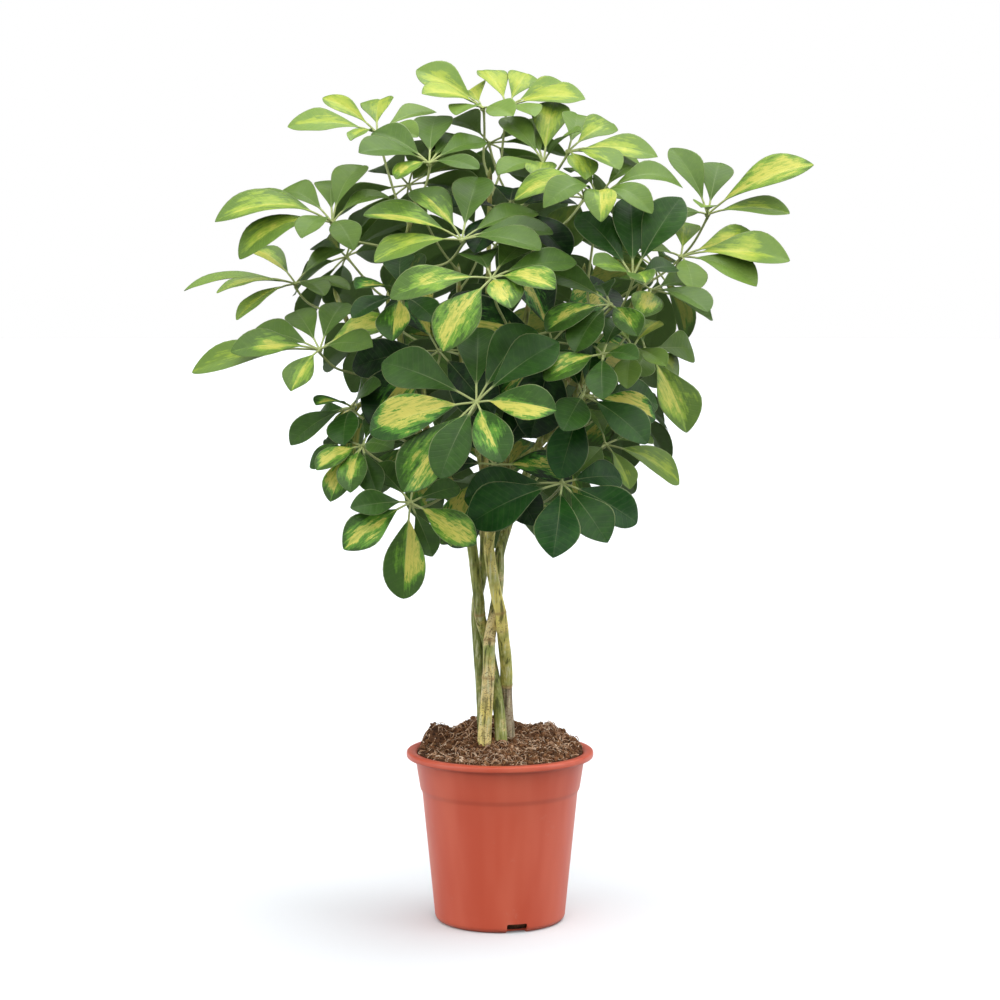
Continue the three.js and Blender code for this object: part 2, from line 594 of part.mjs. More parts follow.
// ---------------------------------------------------------------- leaflets
const widthAt = (s) => Math.sin(Math.PI * s ** 1.5) ** 0.65; // share of the half width, along the blade

// The sections of one leaflet, each [below, left, above, right], and its tip.
function leafletSections(leaf, tip, { thick = 0, wide = 0 } = {}) {
  const length = tip.length();
  const along = tip.clone().normalize();
  const up = leaf.face.clone().projectOnPlane(along).normalize();
  const left = up.clone().cross(along);
  const place = (share) => leaf.hub.clone().addScaledVector(tip, share)
    .addScaledVector(up, 4 * leaf.arch * length * share * (1 - share));
  const section = (share, half, rise, thickness) => {
    const middle = place(share);
    return [middle.clone().addScaledVector(up, -thickness),
      middle.clone().addScaledVector(left, half).addScaledVector(up, rise),
      middle.clone().addScaledVector(up, thickness),
      middle.clone().addScaledVector(left, -half).addScaledVector(up, rise)];
  };
  const halfWidth = 0.5 * leaf.wide * length * (1 - BLADE.start);
  const stalkHalf = BLADE.stalkHalf + thick / 2;
  const sections = [section(0.09, stalkHalf, 0, stalkHalf), section(BLADE.start, stalkHalf, 0, stalkHalf)];
  for (const s of BLADE.stations) {
    const half = halfWidth * widthAt(s);
    const share = BLADE.start + (1 - BLADE.start) * s;
    sections.push(section(share, half + wide, BLADE.fold * half, BLADE.halfThick + thick));
  }
  return { sections, end: leaf.hub.clone().add(tip) };
}

// One leaflet alone, a little larger than life, to find what it would cross.
function roomFor(leaf, tip) {
  const { sections, end } = leafletSections(leaf, tip, CLEARANCE);
  const surface = new Surface();
  const rings = sections.map((points) => surface.ring(points));
  rings.slice(1).forEach((ring, i) => surface.band(rings[i], ring));
  surface.cone(rings[0], leaf.hub.clone().addScaledVector(tip, 0.09), true);
  surface.cone(rings.at(-1), end.addScaledVector(tip, 0.01));
  return surface.solid();
}

const boxesMeet = (a, b) => [0, 1, 2].every((k) => a.min[k] <= b.max[k] && b.min[k] <= a.max[k]);
const meets = (a, b) => boxesMeet(a.box, b.box) && !a.solid.intersect(b.solid).isEmpty();
const boxed = (solid) => ({ solid, box: solid.boundingBox() });

function bent(leaf, tip, [lift, swing]) {
  const up = leaf.face.clone().projectOnPlane(tip).normalize();
  const axis = tip.clone().cross(up).normalize();
  return tip.clone().applyAxisAngle(axis, rad(lift)).applyAxisAngle(leaf.face, rad(swing));
}

// Bends each leaflet by as little as clears everything placed before it.
function bendClear(leaves, obstacles) {
  const placed = [...obstacles];
  for (const leaf of leaves) {
    leaf.tips = leaf.tips.filter((tip, i) => {
      for (const bend of BENDS) {
        const way = bent(leaf, tip, bend);
        const rise = way.dot(leaf.face) / way.length();
        if (rise < REACH.lowest || rise > REACH.highest) continue;
        const room = boxed(roomFor(leaf, way));
        if (!placed.some((other) => other.stalkOf !== leaf && meets(room, other))) {
          placed.push(room);
          tip.copy(way);
          return true;
        }
      }
      console.warn(`${leaf.name} leaflet ${i} finds no room`);
      return false;
    });
  }
}

// ---------------------------------------------------------------- a whole leaf
function leafSurface(leaf) {
  const [side, other] = faceAxes(leaf.face);
  const turnOf = (v) => Math.atan2(v.dot(other), v.dot(side));
  const tips = leaf.tips.toSorted((a, b) => turnOf(a) - turnOf(b));
  const surface = new Surface();
  // The hub is a small disc. Each leaflet leaves it between two corners, one on either side.
  const rim = (turn, radius, height) => leaf.hub.clone().addScaledVector(side, radius * Math.cos(turn))
    .addScaledVector(other, radius * Math.sin(turn)).addScaledVector(leaf.face, height);
  const turns = tips.map(turnOf);
  const corners = surface.ring(turns.map((turn, i) => {
    const next = i + 1 < turns.length ? turns[i + 1] : turns[0] + 2 * Math.PI;
    return rim((turn + next) / 2, HUB.radius, 0);
  }));
  const above = surface.ring(turns.map((turn) => rim(turn, HUB.radius * 0.8, HUB.half)));
  const below = surface.ring(turns.map((turn) => rim(turn, HUB.radius * 0.8, -HUB.half)));
  const dome = leaf.hub.clone().addScaledVector(leaf.face, HUB.dome);
  surface.cone(above.flatMap((point, i) => [point, corners[i]]), dome);
  tips.forEach((tip, i) => {
    const { sections, end } = leafletSections(leaf, tip);
    let ring = [below[i], corners[i], above[i], corners.at(i - 1)];
    for (const points of sections.slice(1)) {
      const far = surface.ring(points);
      surface.band(ring, far);
      ring = far;
    }
    surface.cone(ring, end);
  });
  addStalk(surface, leaf, below.flatMap((point, i) => [point, corners[i]]), side, turns[0]);
  return surface;
}

function addStalk(surface, leaf, hubRing, side, firstTurn) {
  const { curve } = leaf.stalk;
  const topShare = 1 - HUB.taper / curve.getLength();
  let across = side.clone();
  let ring = hubRing;
  for (let i = 1; i <= STALK.steps; i += 1) {
    const share = topShare * (1 - (i - 1) / (STALK.steps - 1));
    const along = share > 0 ? curve.getTangent(share) : leaf.stalk.out;
    across = across.projectOnPlane(along).normalize();
    const other = along.clone().cross(across);
    const far = surface.ring(Array.from({ length: STALK.sides }, (_, k) => {
      const turn = firstTurn + (2 * Math.PI * k) / STALK.sides;
      return curve.getPoint(share).addScaledVector(across, STALK.radius * Math.cos(turn))
        .addScaledVector(other, STALK.radius * Math.sin(turn));
    }));
    if (i === 1) surface.stitch(far, ring);
    else surface.band(far, ring);
    ring = far;
  }
  surface.cone(ring, curve.getPoint(0), true);
}

// ---------------------------------------------------------------- build
addMesh('pot', geometryOf(makePot()), materials.pot);

const stemSolids = STEMS.map(makeStem);
addMesh('soil', geometryOf(makeSoil(STEMS.map(plantingHole))), materials.soil);
STEMS.forEach((stem, i) => addMesh(stem.name, geometryOf(stemSolids[i]), materials.bark));

const leaves = [...SHOWN_LEAVES.map(shownLeaf), ...WHORLS.map(whorl)];
growStalks(leaves);
const obstacles = stemSolids.map(boxed);
for (const leaf of leaves) {
  const samples = leaf.stalk.points.map((at, i) => ({ at, along: leaf.stalk.curve.getTangent(i / 12) }));
  const whole = tube(samples, () => STALK.radius + 1, 6).solid();
  const lower = tube(samples.slice(0, -3), () => STALK.radius + 1, 6).solid();
  const core = [-4, 5].map((rise) => ({ at: leaf.hub.clone().addScaledVector(leaf.face, rise), along: leaf.face }));
  const heart = tube(core, () => HUB.radius + 2, 6).solid();
  obstacles.push({ ...boxed(whole), stalkOf: leaf }, { ...boxed(heart), stalkOf: leaf }, boxed(lower));
}
bendClear(leaves, obstacles);
for (const leaf of leaves) addMesh(`leaf_${leaf.name}`, leafSurface(leaf).geometry(), materials.leaf);

export default plant;
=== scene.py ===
"""A gold-variegated umbrella plant with four wound stems, in a terracotta-coloured nursery pot.

Lengths are millimetres until a mesh is written, then metres. +Z is up and the front view looks along +Y.
"""
import logging
import random
from dataclasses import dataclass, field
from enum import Enum
from functools import partial
from itertools import combinations
from math import atan2, ceil, copysign, cos, exp, hypot, pi, radians, sin, sqrt
from typing import Callable, Sequence

import bpy
from mathutils import Matrix, Vector, noise


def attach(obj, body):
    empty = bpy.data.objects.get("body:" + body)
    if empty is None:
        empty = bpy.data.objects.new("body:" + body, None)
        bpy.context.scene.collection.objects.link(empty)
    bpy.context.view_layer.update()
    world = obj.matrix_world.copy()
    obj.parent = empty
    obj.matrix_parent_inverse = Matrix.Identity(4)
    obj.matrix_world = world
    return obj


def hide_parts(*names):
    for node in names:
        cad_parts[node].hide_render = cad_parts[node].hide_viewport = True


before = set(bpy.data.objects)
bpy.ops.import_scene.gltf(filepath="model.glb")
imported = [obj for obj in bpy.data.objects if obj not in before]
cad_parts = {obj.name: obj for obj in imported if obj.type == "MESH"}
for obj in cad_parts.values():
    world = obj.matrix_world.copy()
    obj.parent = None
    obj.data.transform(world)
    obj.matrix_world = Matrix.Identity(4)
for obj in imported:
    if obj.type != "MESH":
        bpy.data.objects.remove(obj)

Socket = bpy.types.NodeSocket
AddNode = Callable[..., Socket]
Colour = Socket | tuple[float, float, float, float]
Cell = tuple[float, float, float, float]  # left, bottom, width and height of a part of the bake map
Row = tuple[float, float, float]  # a place, a way, or three marks

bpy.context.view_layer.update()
MM = 0.001
WHOLE_MAP: Cell = (0.02, 0.02, 0.96, 0.96)
EASED = {"interpolation_type": "SMOOTHSTEP"}
COLOURS = {"out": 2, "data_type": "RGBA"}
log = logging.getLogger("umbrella_plant")


# ---------------------------------------------------------------- small helpers
def linear(hex_colour: str) -> Colour:
    """Turns an sRGB hex colour into a linear one.

    Args:
        hex_colour: Such as "#c4614a".

    Returns:
        Red, green, blue and an alpha of 1.
    """
    parts = [int(hex_colour[i:i + 2], 16) / 255 for i in (1, 3, 5)]
    return (*[c / 12.92 if c <= 0.04045 else ((c + 0.055) / 1.055) ** 2.4 for c in parts], 1.0)


def smooth(low: float, high: float, value: float) -> float:
    """Gives a share that rises smoothly from 0 where the value is low to 1 where it is high."""
    share = min(1.0, max(0.0, (value - low) / (high - low)))
    return share * share * (3 - 2 * share)


def turns(count: int) -> list[float]:
    """Gives where each of so many equal parts of a full turn starts, in radians."""
    return [2 * pi * k / count for k in range(count)]


def cells(count: int, gap: float) -> list[Cell]:
    """Divides the bake map into so many square cells, with a gap round each that is a share of its width."""
    cols = ceil(sqrt(count))
    return [((i % cols + gap) / cols, (i // cols + gap) / cols, (1 - 2 * gap) / cols, (1 - 2 * gap) / cols)
            for i in range(count)]


def wire(tree: bpy.types.NodeTree, kind: str, *inputs: object, out: int | str = 0, **settings: object) -> Socket:
    """Adds one node with its settings and links.

    Args:
        tree: The node tree it goes into.
        kind: The node's type, without the word that all shader nodes' types start with, and a dot and its operation.
        inputs: What goes into each input, in their order or as one dict by name: a value or another node's output.
        out: The output that is wanted.
        settings: The node's own properties.

    Returns:
        The wanted output, or for a node without outputs its first input.
    """
    kind, _, operation = kind.partition(".")
    node = tree.nodes.new("ShaderNode" + kind)
    if operation:
        node.operation = operation
    for name, value in settings.items():
        setattr(node, name, value)
    named = inputs and isinstance(inputs[0], dict)
    for name, value in inputs[0].items() if named else enumerate(inputs):
        if isinstance(value, Socket):
            tree.links.new(value, node.inputs[name])
        else:
            node.inputs[name].default_value = value
    return node.outputs[out] if node.outputs else node.inputs[0]


def spline(points: Sequence[Vector], share: float) -> Vector:
    """Reads the smooth curve through some points, with as much of the range for each gap.

    Args:
        points: The points it passes through.
        share: From 0 at the first point to 1 at the last.

    Returns:
        The place on the curve.
    """
    place = (len(points) - 1) * share
    i = min(int(place), len(points) - 2)
    t = place - i
    b, c = points[i], points[i + 1]
    a = points[i - 1] if i else 2 * b - c
    d = points[i + 2] if i + 2 < len(points) else 2 * c - b
    m, n = (c - a) / 2, (d - b) / 2
    return b + m * t + (3 * (c - b) - 2 * m - n) * t ** 2 + (2 * (b - c) + m + n) * t ** 3


class Mark(Enum):
    """What a point of a mesh tells its material, each as three numbers."""
    BLADE = "blade"  # share along the blade, place across it from -1 to 1, and 1 on the blade or 0 off it
    SPOT = "spot"  # metres along the blade, metres across it from the midrib, and a number of the leaflet's own
    GROWTH = "growth"  # how far inside the gold it is, how much more of it the left half has, and how young it looks, below 0 a painted shade
    BARK = "bark"  # how corky, the strength of a leaf scar, and how much gold the green has, with a painted shade below 0


@dataclass
class Draft:
    """A mesh while it is being written.

    Each face holds its points, anticlockwise seen from outside, where they lie on the bake map, and whether it is on
    the underside of a blade.
    """
    points: list[Vector] = field(default_factory=list)
    faces: list[tuple[tuple[int, ...], tuple[tuple[float, float], ...], bool]] = field(default_factory=list)
    marks: dict[Mark, list[Row]] = field(default_factory=dict)

    def put(self, point: Vector, **marks: Row) -> int:
        """Adds a point.

        Args:
            point: Its place in millimetres.
            marks: What it tells the material, by the mark's name.

        Returns:
            Its number.
        """
        self.points.append(point)
        for name, value in marks.items():
            values = self.marks.setdefault(Mark[name], [])
            values.extend([(0.0, 0.0, 0.0)] * (len(self.points) - 1 - len(values)))
            values.append(value)
        return len(self.points) - 1

    def ring(self, middle: Vector, side: Vector, other: Vector, count: int, **marks: Row) -> list[int]:
        """Adds points round a middle, from a first radius towards another at a right angle to it."""
        return [self.put(middle + side * cos(t) + other * sin(t), **marks) for t in turns(count)]

    def level_ring(self, radius: float, height: float, count: int) -> list[int]:
        """Adds points round the upright axis through the pot, at a height."""
        return self.ring(Vector((0, 0, height)), Vector((radius, 0, 0)), Vector((0, radius, 0)), count)

    def loft(self, rings: Sequence[Sequence[int]], cell: Cell, ends: tuple[int, int],
             across: Sequence[float] | None = None) -> None:
        """Joins rings of as many points each into a closed tube.

        Args:
            rings: The rings' points, each anticlockwise seen along the way the rings go.
            cell: Its part of the bake map.
            ends: The points that close the first and the last ring.
            across: Where each point of a ring, and the first once more, lies across that part.
        """
        count = len(rings[0])
        left, bottom, width, height = cell
        rows = [bottom + height * (i + 1) / (len(rings) + 1) for i in range(len(rings))]
        spots = [left + width * a for a in across or [k / count for k in range(count + 1)]]
        sides = [(k, (k + 1) % count, spots[k], spots[k + 1], k >= count // 2) for k in range(count)]
        for near, far, low, high in zip(rings, rings[1:], rows, rows[1:]):
            for k, n, here, there, under in sides:
                self.faces.append(((near[k], near[n], far[n], far[k]),
                                   ((here, low), (there, low), (there, high), (here, high)), under))
        for ring, row, end, tip, way in ((rings[0], rows[0], ends[0], bottom, -1),
                                         (rings[-1], rows[-1], ends[1], bottom + height, 1)):
            for k, n, here, there, under in sides:
                (a, b), (c, d) = (ring[k], ring[n])[::way], ((here, row), (there, row))[::way]
                self.faces.append(((a, b, end), (c, d, ((here + there) / 2, tip)), under))

    def tube(self, places: Sequence[Vector], radii: Sequence[float], sides: int, cell: Cell,
             marks: Sequence[dict[str, Row]] | None = None, bud: float = 0.0) -> None:
        """Adds a closed tube round a line.

        Args:
            places: The line's points.
            radii: The tube's radius at each.
            sides: Points in a ring.
            cell: Its part of the bake map.
            marks: What each ring tells the material, by the mark's name.
            bud: How far its end stands out.
        """
        marks = marks or [{}] * len(places)
        rings = []
        across = Vector((1, 0.013, 0.007))  # any way that no tube runs in
        for i, (place, radius) in enumerate(zip(places, radii)):
            along = (places[min(i + 1, len(places) - 1)] - places[max(i - 1, 0)]).normalized()
            across = (across - along * across.dot(along)).normalized()
            rings.append(self.ring(place, across * radius, along.cross(across) * radius, sides, **marks[i]))
        end = places[-1] + (places[-1] - places[-3]).normalized() * bud
        self.loft(rings, cell, (self.put(places[0], **marks[0]), self.put(end, **marks[-1])))

    def build(self, name: str, material: bpy.types.Material, crease: float | None = None) -> bpy.types.Object:
        """Writes the mesh as an object of the scene.

        Args:
            name: The object's name.
            material: Its material.
            crease: The angle in degrees over which an edge stays sharp.

        Returns:
            The object.
        """
        mesh = bpy.data.meshes.new(name)
        mesh.from_pydata([p * MM for p in self.points], [], [numbers for numbers, _, _ in self.faces])
        bake = mesh.uv_layers.new(name="OFBake")
        bake.data.foreach_set("uv", [value for _, corners, _ in self.faces for corner in corners for value in corner])
        for mark, values in self.marks.items():
            values = values + [(0.0, 0.0, 0.0)] * (len(self.points) - len(values))
            layer = mesh.attributes.new(mark.value, "FLOAT_VECTOR", "POINT")
            layer.data.foreach_set("vector", [part for value in values for part in value])
        if Mark.BLADE in self.marks:
            layer = mesh.attributes.new("underside", "FLOAT", "FACE")
            layer.data.foreach_set("value", [float(under) for _, _, under in self.faces])
        mesh.shade_smooth()
        if crease is not None:
            mesh.set_sharp_from_angle(angle=radians(crease))
        mesh.materials.append(material)
        thing = bpy.data.objects.new(name, mesh)
        bpy.context.scene.collection.objects.link(thing)
        return thing


def place_piece(thing: bpy.types.Object, slot: str, *nodes: str) -> None:
    """Lets a piece ride on the plant's only body and reports it.

    Args:
        thing: The piece.
        slot: The record's material slot that it belongs to; not used.
        nodes: The CAD nodes it stands for.
    """
    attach(thing, "root")
    if nodes:
        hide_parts(*nodes)
    log.info("%s: %d faces%s", thing.name, len(thing.data.polygons), f", for {', '.join(nodes)}" if nodes else "")


# ---------------------------------------------------------------- finishes
@dataclass(frozen=True)
class Layer:
    """A colour over those below it, by a share, or by where a value stands between a start and an end."""
    colour: Colour | str
    share: Socket
    start: float | None = None
    end: Socket | float = 1.0
    most: float = 1.0


@dataclass(frozen=True)
class Paint:
    """What a finish gives its shader: a ground colour, the layers over it, and the height and roughness that vary."""
    ground: Colour
    layers: tuple[Layer, ...] = ()
    height: Socket | None = None
    gloss: Socket | None = None


@dataclass(frozen=True, kw_only=True)
class Finish:
    """A surface: what it is made of, how it was made, and how it shines."""
    name: str
    roughness: float
    specular: float
    ior: float = 1.45
    bump: tuple[float, float] = (0.0, 0.0)  # strength, and metres of depth

    def paint(self, add: AddNode) -> Paint:
        """Adds the nodes that are the finish's own, and is written by each finish."""
        raise NotImplementedError

    def material(self) -> bpy.types.Material:
        """Writes the material.

        Returns:
            It, with each layer mixed over those before it.
        """
        material = bpy.data.materials.new(self.name)
        material.use_nodes = True
        material.node_tree.nodes.clear()
        add = partial(wire, material.node_tree)
        paint = self.paint(add)
        colour = paint.ground
        for layer in paint.layers:
            share, over = layer.share, layer.colour
            if layer.start is not None:
                share = add("MapRange", share, layer.start, layer.end, 0.0, layer.most, **EASED)
            over = linear(over) if isinstance(over, str) else over
            colour = add("Mix", {0: share, 6: colour, 7: over}, **COLOURS)
        inputs = {"Base Color": colour, "Roughness": paint.gloss or self.roughness, "IOR": self.ior,
                  "Specular IOR Level": self.specular}
        if paint.height:
            strength, depth = self.bump
            inputs["Normal"] = add("Bump", {"Strength": strength, "Distance": depth, "Height": paint.height})
        add("OutputMaterial", add("BsdfPrincipled", inputs))
        return material


@dataclass(frozen=True, kw_only=True)
class WaxyLeaf(Finish):
    """Umbrella-plant leaf, grown, under a waxy cuticle: leathery, satin, with broad soft highlights.

    Each of the three chances that fray the gold is its metres across and along, a number of its own, and how far it
    moves the edge.
    """
    name: str = "umbrella_leaf_grown_waxy"
    roughness: float = 0.3
    specular: float = 0.26
    bump: tuple[float, float] = (0.45, 0.0006)
    # Painted shade: leaves deep in the crown are darkened towards this green.
    painted_shade_green: str = "#071f07"
    old_green: str = "#0f3c0a"
    young_green: str = "#749340"
    old_light: str = "#4a8829"
    young_light: str = "#a0b342"  # the green beside the gold
    old_yellow: str = "#c6c05c"
    young_yellow: str = "#bdc351"
    rib: str = "#b4c188"
    stalk: str = "#b3bd74"
    under: str = "#7f9c58"
    fibres: tuple[float, ...] = (0.0022, 0.015, 57.0, 1.5)  # streaks of cells along the blade
    feathers: tuple[float, ...] = (0.010, 0.0018, 31.0, 0.3)  # streaks along the side veins
    patches: tuple[float, ...] = (0.010, 0.024, 91.0, 1.7)  # islands in the gold
    half_shift: float = 0.42  # how far the fuller half moves the gold's edge
    vein_gap: float = 0.0065  # side veins, metres apart
    vein_slant: float = -0.58  # they leave the midrib at about 60 degrees
    vein_tint: float = 0.02  # they are only a little paler than the blade
    vein_depth: float = -0.35
    rib_half: float = 0.0004  # half the midrib's width at its base, metres
    rib_taper: float = -0.0003
    rib_tint: float = 0.28
    # The pale margin is partly the leaf's own paler edge and partly a painted highlight along it.
    margin_and_highlight_tint: float = 0.45
    under_tint: float = 0.5
    under_painted_shade: float = -0.4  # a painted shade: how much paleness the underside loses on a leaf darkened for the crown's shade
    under_matte: float = 0.25
    mottle_matte: float = 0.16

    def paint(self, add: AddNode) -> Paint:
        """Adds the marbling, the veins, the midrib, the pale margin, which is partly a painted highlight, and the
        underside.

        Args:
            add: Adds a node to the material.

        Returns:
            Them, driven by the marks of the leaf meshes.
        """
        (s, v, on_blade), (run, off, own), (gold_in, half, young) = (
            add("SeparateXYZ", add("Attribute", out="Vector", attribute_name=mark.value)).node.outputs
            for mark in (Mark.BLADE, Mark.SPOT, Mark.GROWTH))
        below = add("Attribute", out="Fac", attribute_name="underside")
        place = add("NewGeometry", out="Position")
        mottle = add("TexNoise", {"Vector": place, "Scale": 95.0, "Detail": 4.0, "Roughness": 0.55})
        from_rib, off_rib = (add("Math.ABSOLUTE", value) for value in (v, off))
        vein_run = add("Math.MULTIPLY_ADD", off_rib, self.vein_slant, run)

        # Gold spreads from the midrib, and its edge is frayed where cells grew in lines.
        edge = add("Math.MULTIPLY", add("Math.SIGN", v), half)
        edge = add("Math.MULTIPLY_ADD", edge, self.half_shift, gold_in)
        chances = []
        for along, (wide, long, turn, share) in ((run, self.fibres), (vein_run, self.feathers), (run, self.patches)):
            spot = add("CombineXYZ", add("Math.DIVIDE", off, wide),
                       add("Math.DIVIDE", along, long), add("Math.MULTIPLY", own, turn))
            chances.append(add("TexNoise", {"Vector": spot, "Scale": 1.0, "Detail": 3.0, "Roughness": 0.6}))
            even = add("Math.MULTIPLY_ADD", chances[-1], share, -share / 2)
            edge = add("Math.ADD", edge, even)
        fibres, _, patches = chances
        soft = add("Math.MULTIPLY", young, 0.4, use_clamp=True)
        inside = add("Math.ADD", soft, 0.16)
        # Below 0, how young it looks is a painted shade that darkens the leaf.
        painted_shade = add("Math.MULTIPLY", young, -1.0, use_clamp=True)
        green, light, gold = (
            add("Mix", {0: young, 6: linear(old), 7: linear(new)}, **COLOURS)
            for old, new in ((self.old_green, self.young_green), (self.old_light, self.young_light),
                             (self.old_yellow, self.young_yellow)))
        fleck = add("MapRange", fibres, 0.48, 0.66, 0.0, 0.6, **EASED)
        gold = add("Mix", {0: fleck, 6: gold, 7: light}, **COLOURS)

        # A side vein runs where the phase is 0.5.
        phase = add("Math.DIVIDE", vein_run, self.vein_gap)
        phase = add("Math.FRACT", add("Math.MULTIPLY_ADD", patches, 0.5, phase))
        from_vein = add("Math.ABSOLUTE", add("Math.SUBTRACT", phase, 0.5))
        # The midrib is a pale line about 0.8 mm wide at the base, thinner and fainter towards the tip.
        rib_half = add("Math.MULTIPLY_ADD", s, self.rib_taper, self.rib_half)
        past_rib = add("Math.SUBTRACT", off_rib, rib_half)
        vein, on_rib = (
            add("MapRange", value, off, on, **EASED)
            for value, off, on in ((from_vein, 0.16, 0.0), (past_rib, 0.0004, -0.0002)))
        rib_tint = add("Math.MULTIPLY_ADD", s, -0.25, self.rib_tint)
        # The underside is paler and matte, and the marbling shows through it faintly. A painted shade makes it less
        # pale on leaves deep in the crown.
        paler = add("Math.MULTIPLY_ADD", painted_shade, self.under_painted_shade, self.under_tint)
        vein_tint, rib_tint, pale = (
            add("Math.MULTIPLY", a, b)
            for a, b in ((vein, self.vein_tint), (on_rib, rib_tint), (below, paler)))
        # The pale margin: partly the leaf's own paler edge, partly a painted highlight.
        margin = add("MapRange", from_rib, 0.945, 0.99, 0.0, self.margin_and_highlight_tint)
        stalk = add("Mix", {0: mottle, 6: linear(self.stalk), 7: linear(self.rib)}, **COLOURS)
        off_blade = add("Math.SUBTRACT", 1.0, on_blade)

        matte = add("Math.MULTIPLY_ADD", below, self.under_matte, self.roughness)
        return Paint(
            green, (Layer(self.painted_shade_green, painted_shade), Layer(light, mottle, 0.35, 0.75, 0.16),
                    Layer(light, edge, -0.5, 0.0), Layer(gold, edge, -0.02, inside), Layer(self.rib, vein_tint),
                    Layer(self.rib, rib_tint), Layer(self.rib, margin), Layer(self.under, pale),
                    Layer(stalk, off_blade)),
            height=add("Math.MULTIPLY_ADD", vein, self.vein_depth, mottle),
            gloss=add("Math.MULTIPLY_ADD", mottle, self.mottle_matte, matte))


@dataclass(frozen=True, kw_only=True)
class GreenBark(Finish):
    """Young umbrella-plant bark, grown, ringed by leaf scars: green over tan cork, dull and a little rough."""
    name: str = "young_bark_grown_ringed"
    roughness: float = 0.6
    specular: float = 0.35
    bump: tuple[float, float] = (0.6, 0.0009)
    green: str = "#9da659"
    gold: str = "#efe27a"
    tan: str = "#e6d298"
    cork: str = "#a99a80"
    # Painted shade: the deep green darkens a stem where its gold mark is below 0.
    deep: str = "#57622f"
    # The dark and pale streaks are the bark's own lengthwise streaks, and partly a painted shade and a painted
    # highlight across the wound stems.
    dark_streak_and_shade: str = "#333d1a"
    pale: str = "#e0e2b2"
    speck: str = "#6a4f2a"
    scar: str = "#a2814f"
    streak_rate: Row = (260.0, 260.0, 30.0)  # lengthwise, about 4 mm wide and 30 mm long
    speck_rate: Row = (430.0, 430.0, 620.0)  # lenticels, about 1 mm long

    def paint(self, add: AddNode) -> Paint:
        """Adds the patches of green, gold, tan and cork, a painted shade of deep green, the streaks, which are partly a
        painted shade and highlight, the lenticels and the leaf scars.

        Args:
            add: Adds a node to the material.

        Returns:
            Them, driven by the marks of the stem meshes.
        """
        bark = add("Attribute", out="Vector", attribute_name=Mark.BARK.value)
        corky, scar, gold_and_shade = add("SeparateXYZ", bark).node.outputs
        place = add("NewGeometry", out="Position")
        patches = add("TexNoise", {"Vector": place, "Scale": 55.0, "Detail": 4.0, "Roughness": 0.65})
        streaks, specks = (
            add("TexNoise", {"Vector": add("VectorMath.MULTIPLY", {0: place, 1: rate}), "Scale": 1.0,
                             "Detail": detail, "Roughness": rough})
            for rate, detail, rough in ((self.streak_rate, 4.0, 0.6), (self.speck_rate, 2.0, 0.5)))
        uneven = add("Math.MULTIPLY_ADD", patches, 2.0, -1.0)
        tone, warmth_and_shade = (add("Math.ADD", uneven, more) for more in (corky, gold_and_shade))
        # A gold mark below 0 is a painted shade, mixed towards the deep green.
        is_gold, in_painted_shade = (add("Math.MULTIPLY", warmth_and_shade, way, use_clamp=True) for way in (1.0, -1.0))
        is_tan = add("MapRange", tone, 0.2, 0.6, **EASED)
        spots = add("MapRange", specks, 0.55, 0.66, 0.0, 0.8)
        spots = add("Math.MULTIPLY", spots, is_tan)
        return Paint(
            linear(self.green), (Layer(self.tan, is_tan), Layer(self.gold, is_gold), Layer(self.deep, in_painted_shade),
                                 # The pale and dark streaks: partly the bark's own, partly a painted highlight and a
                                 # painted shade.
                                 Layer(self.cork, tone, 0.9, 1.4), Layer(self.pale, streaks, 0.52, 0.68, 0.75),
                                 Layer(self.dark_streak_and_shade, streaks, 0.5, 0.34, 0.8), Layer(self.speck, spots),
                                 Layer(self.scar, scar)),
            height=add("Math.ADD", streaks, specks))


@dataclass(frozen=True, kw_only=True)
class MottledMatter(Finish):
    """Peat, bark or coconut fibre, crumbled or curled: matte, with each crumb or strand its own brown."""
    roughness: float = 0.95
    specular: float = 0.15
    ior: float = 1.4
    bump: tuple[float, float] = (0.8, 0.001)
    dark: str
    middle: str
    pale: str
    grain: float  # size of the mottling, metres
    pale_from: float = 0.62

    def paint(self, add: AddNode) -> Paint:
        """Adds the mottling.

        Args:
            add: Adds a node to the material.

        Returns:
            It, coarse for the middle brown and fine for the pale one.
        """
        place = add("NewGeometry", out="Position")
        coarse, fine = (
            add("TexNoise", {"Vector": place, "Scale": rate / self.grain, "Detail": detail, "Roughness": 0.7})
            for rate, detail in ((0.6, 5.0), (2.2, 3.0)))
        return Paint(linear(self.dark), (Layer(self.middle, coarse, 0.36, 0.62),
                                         Layer(self.pale, fine, self.pale_from, self.pale_from + 0.12)), height=fine)


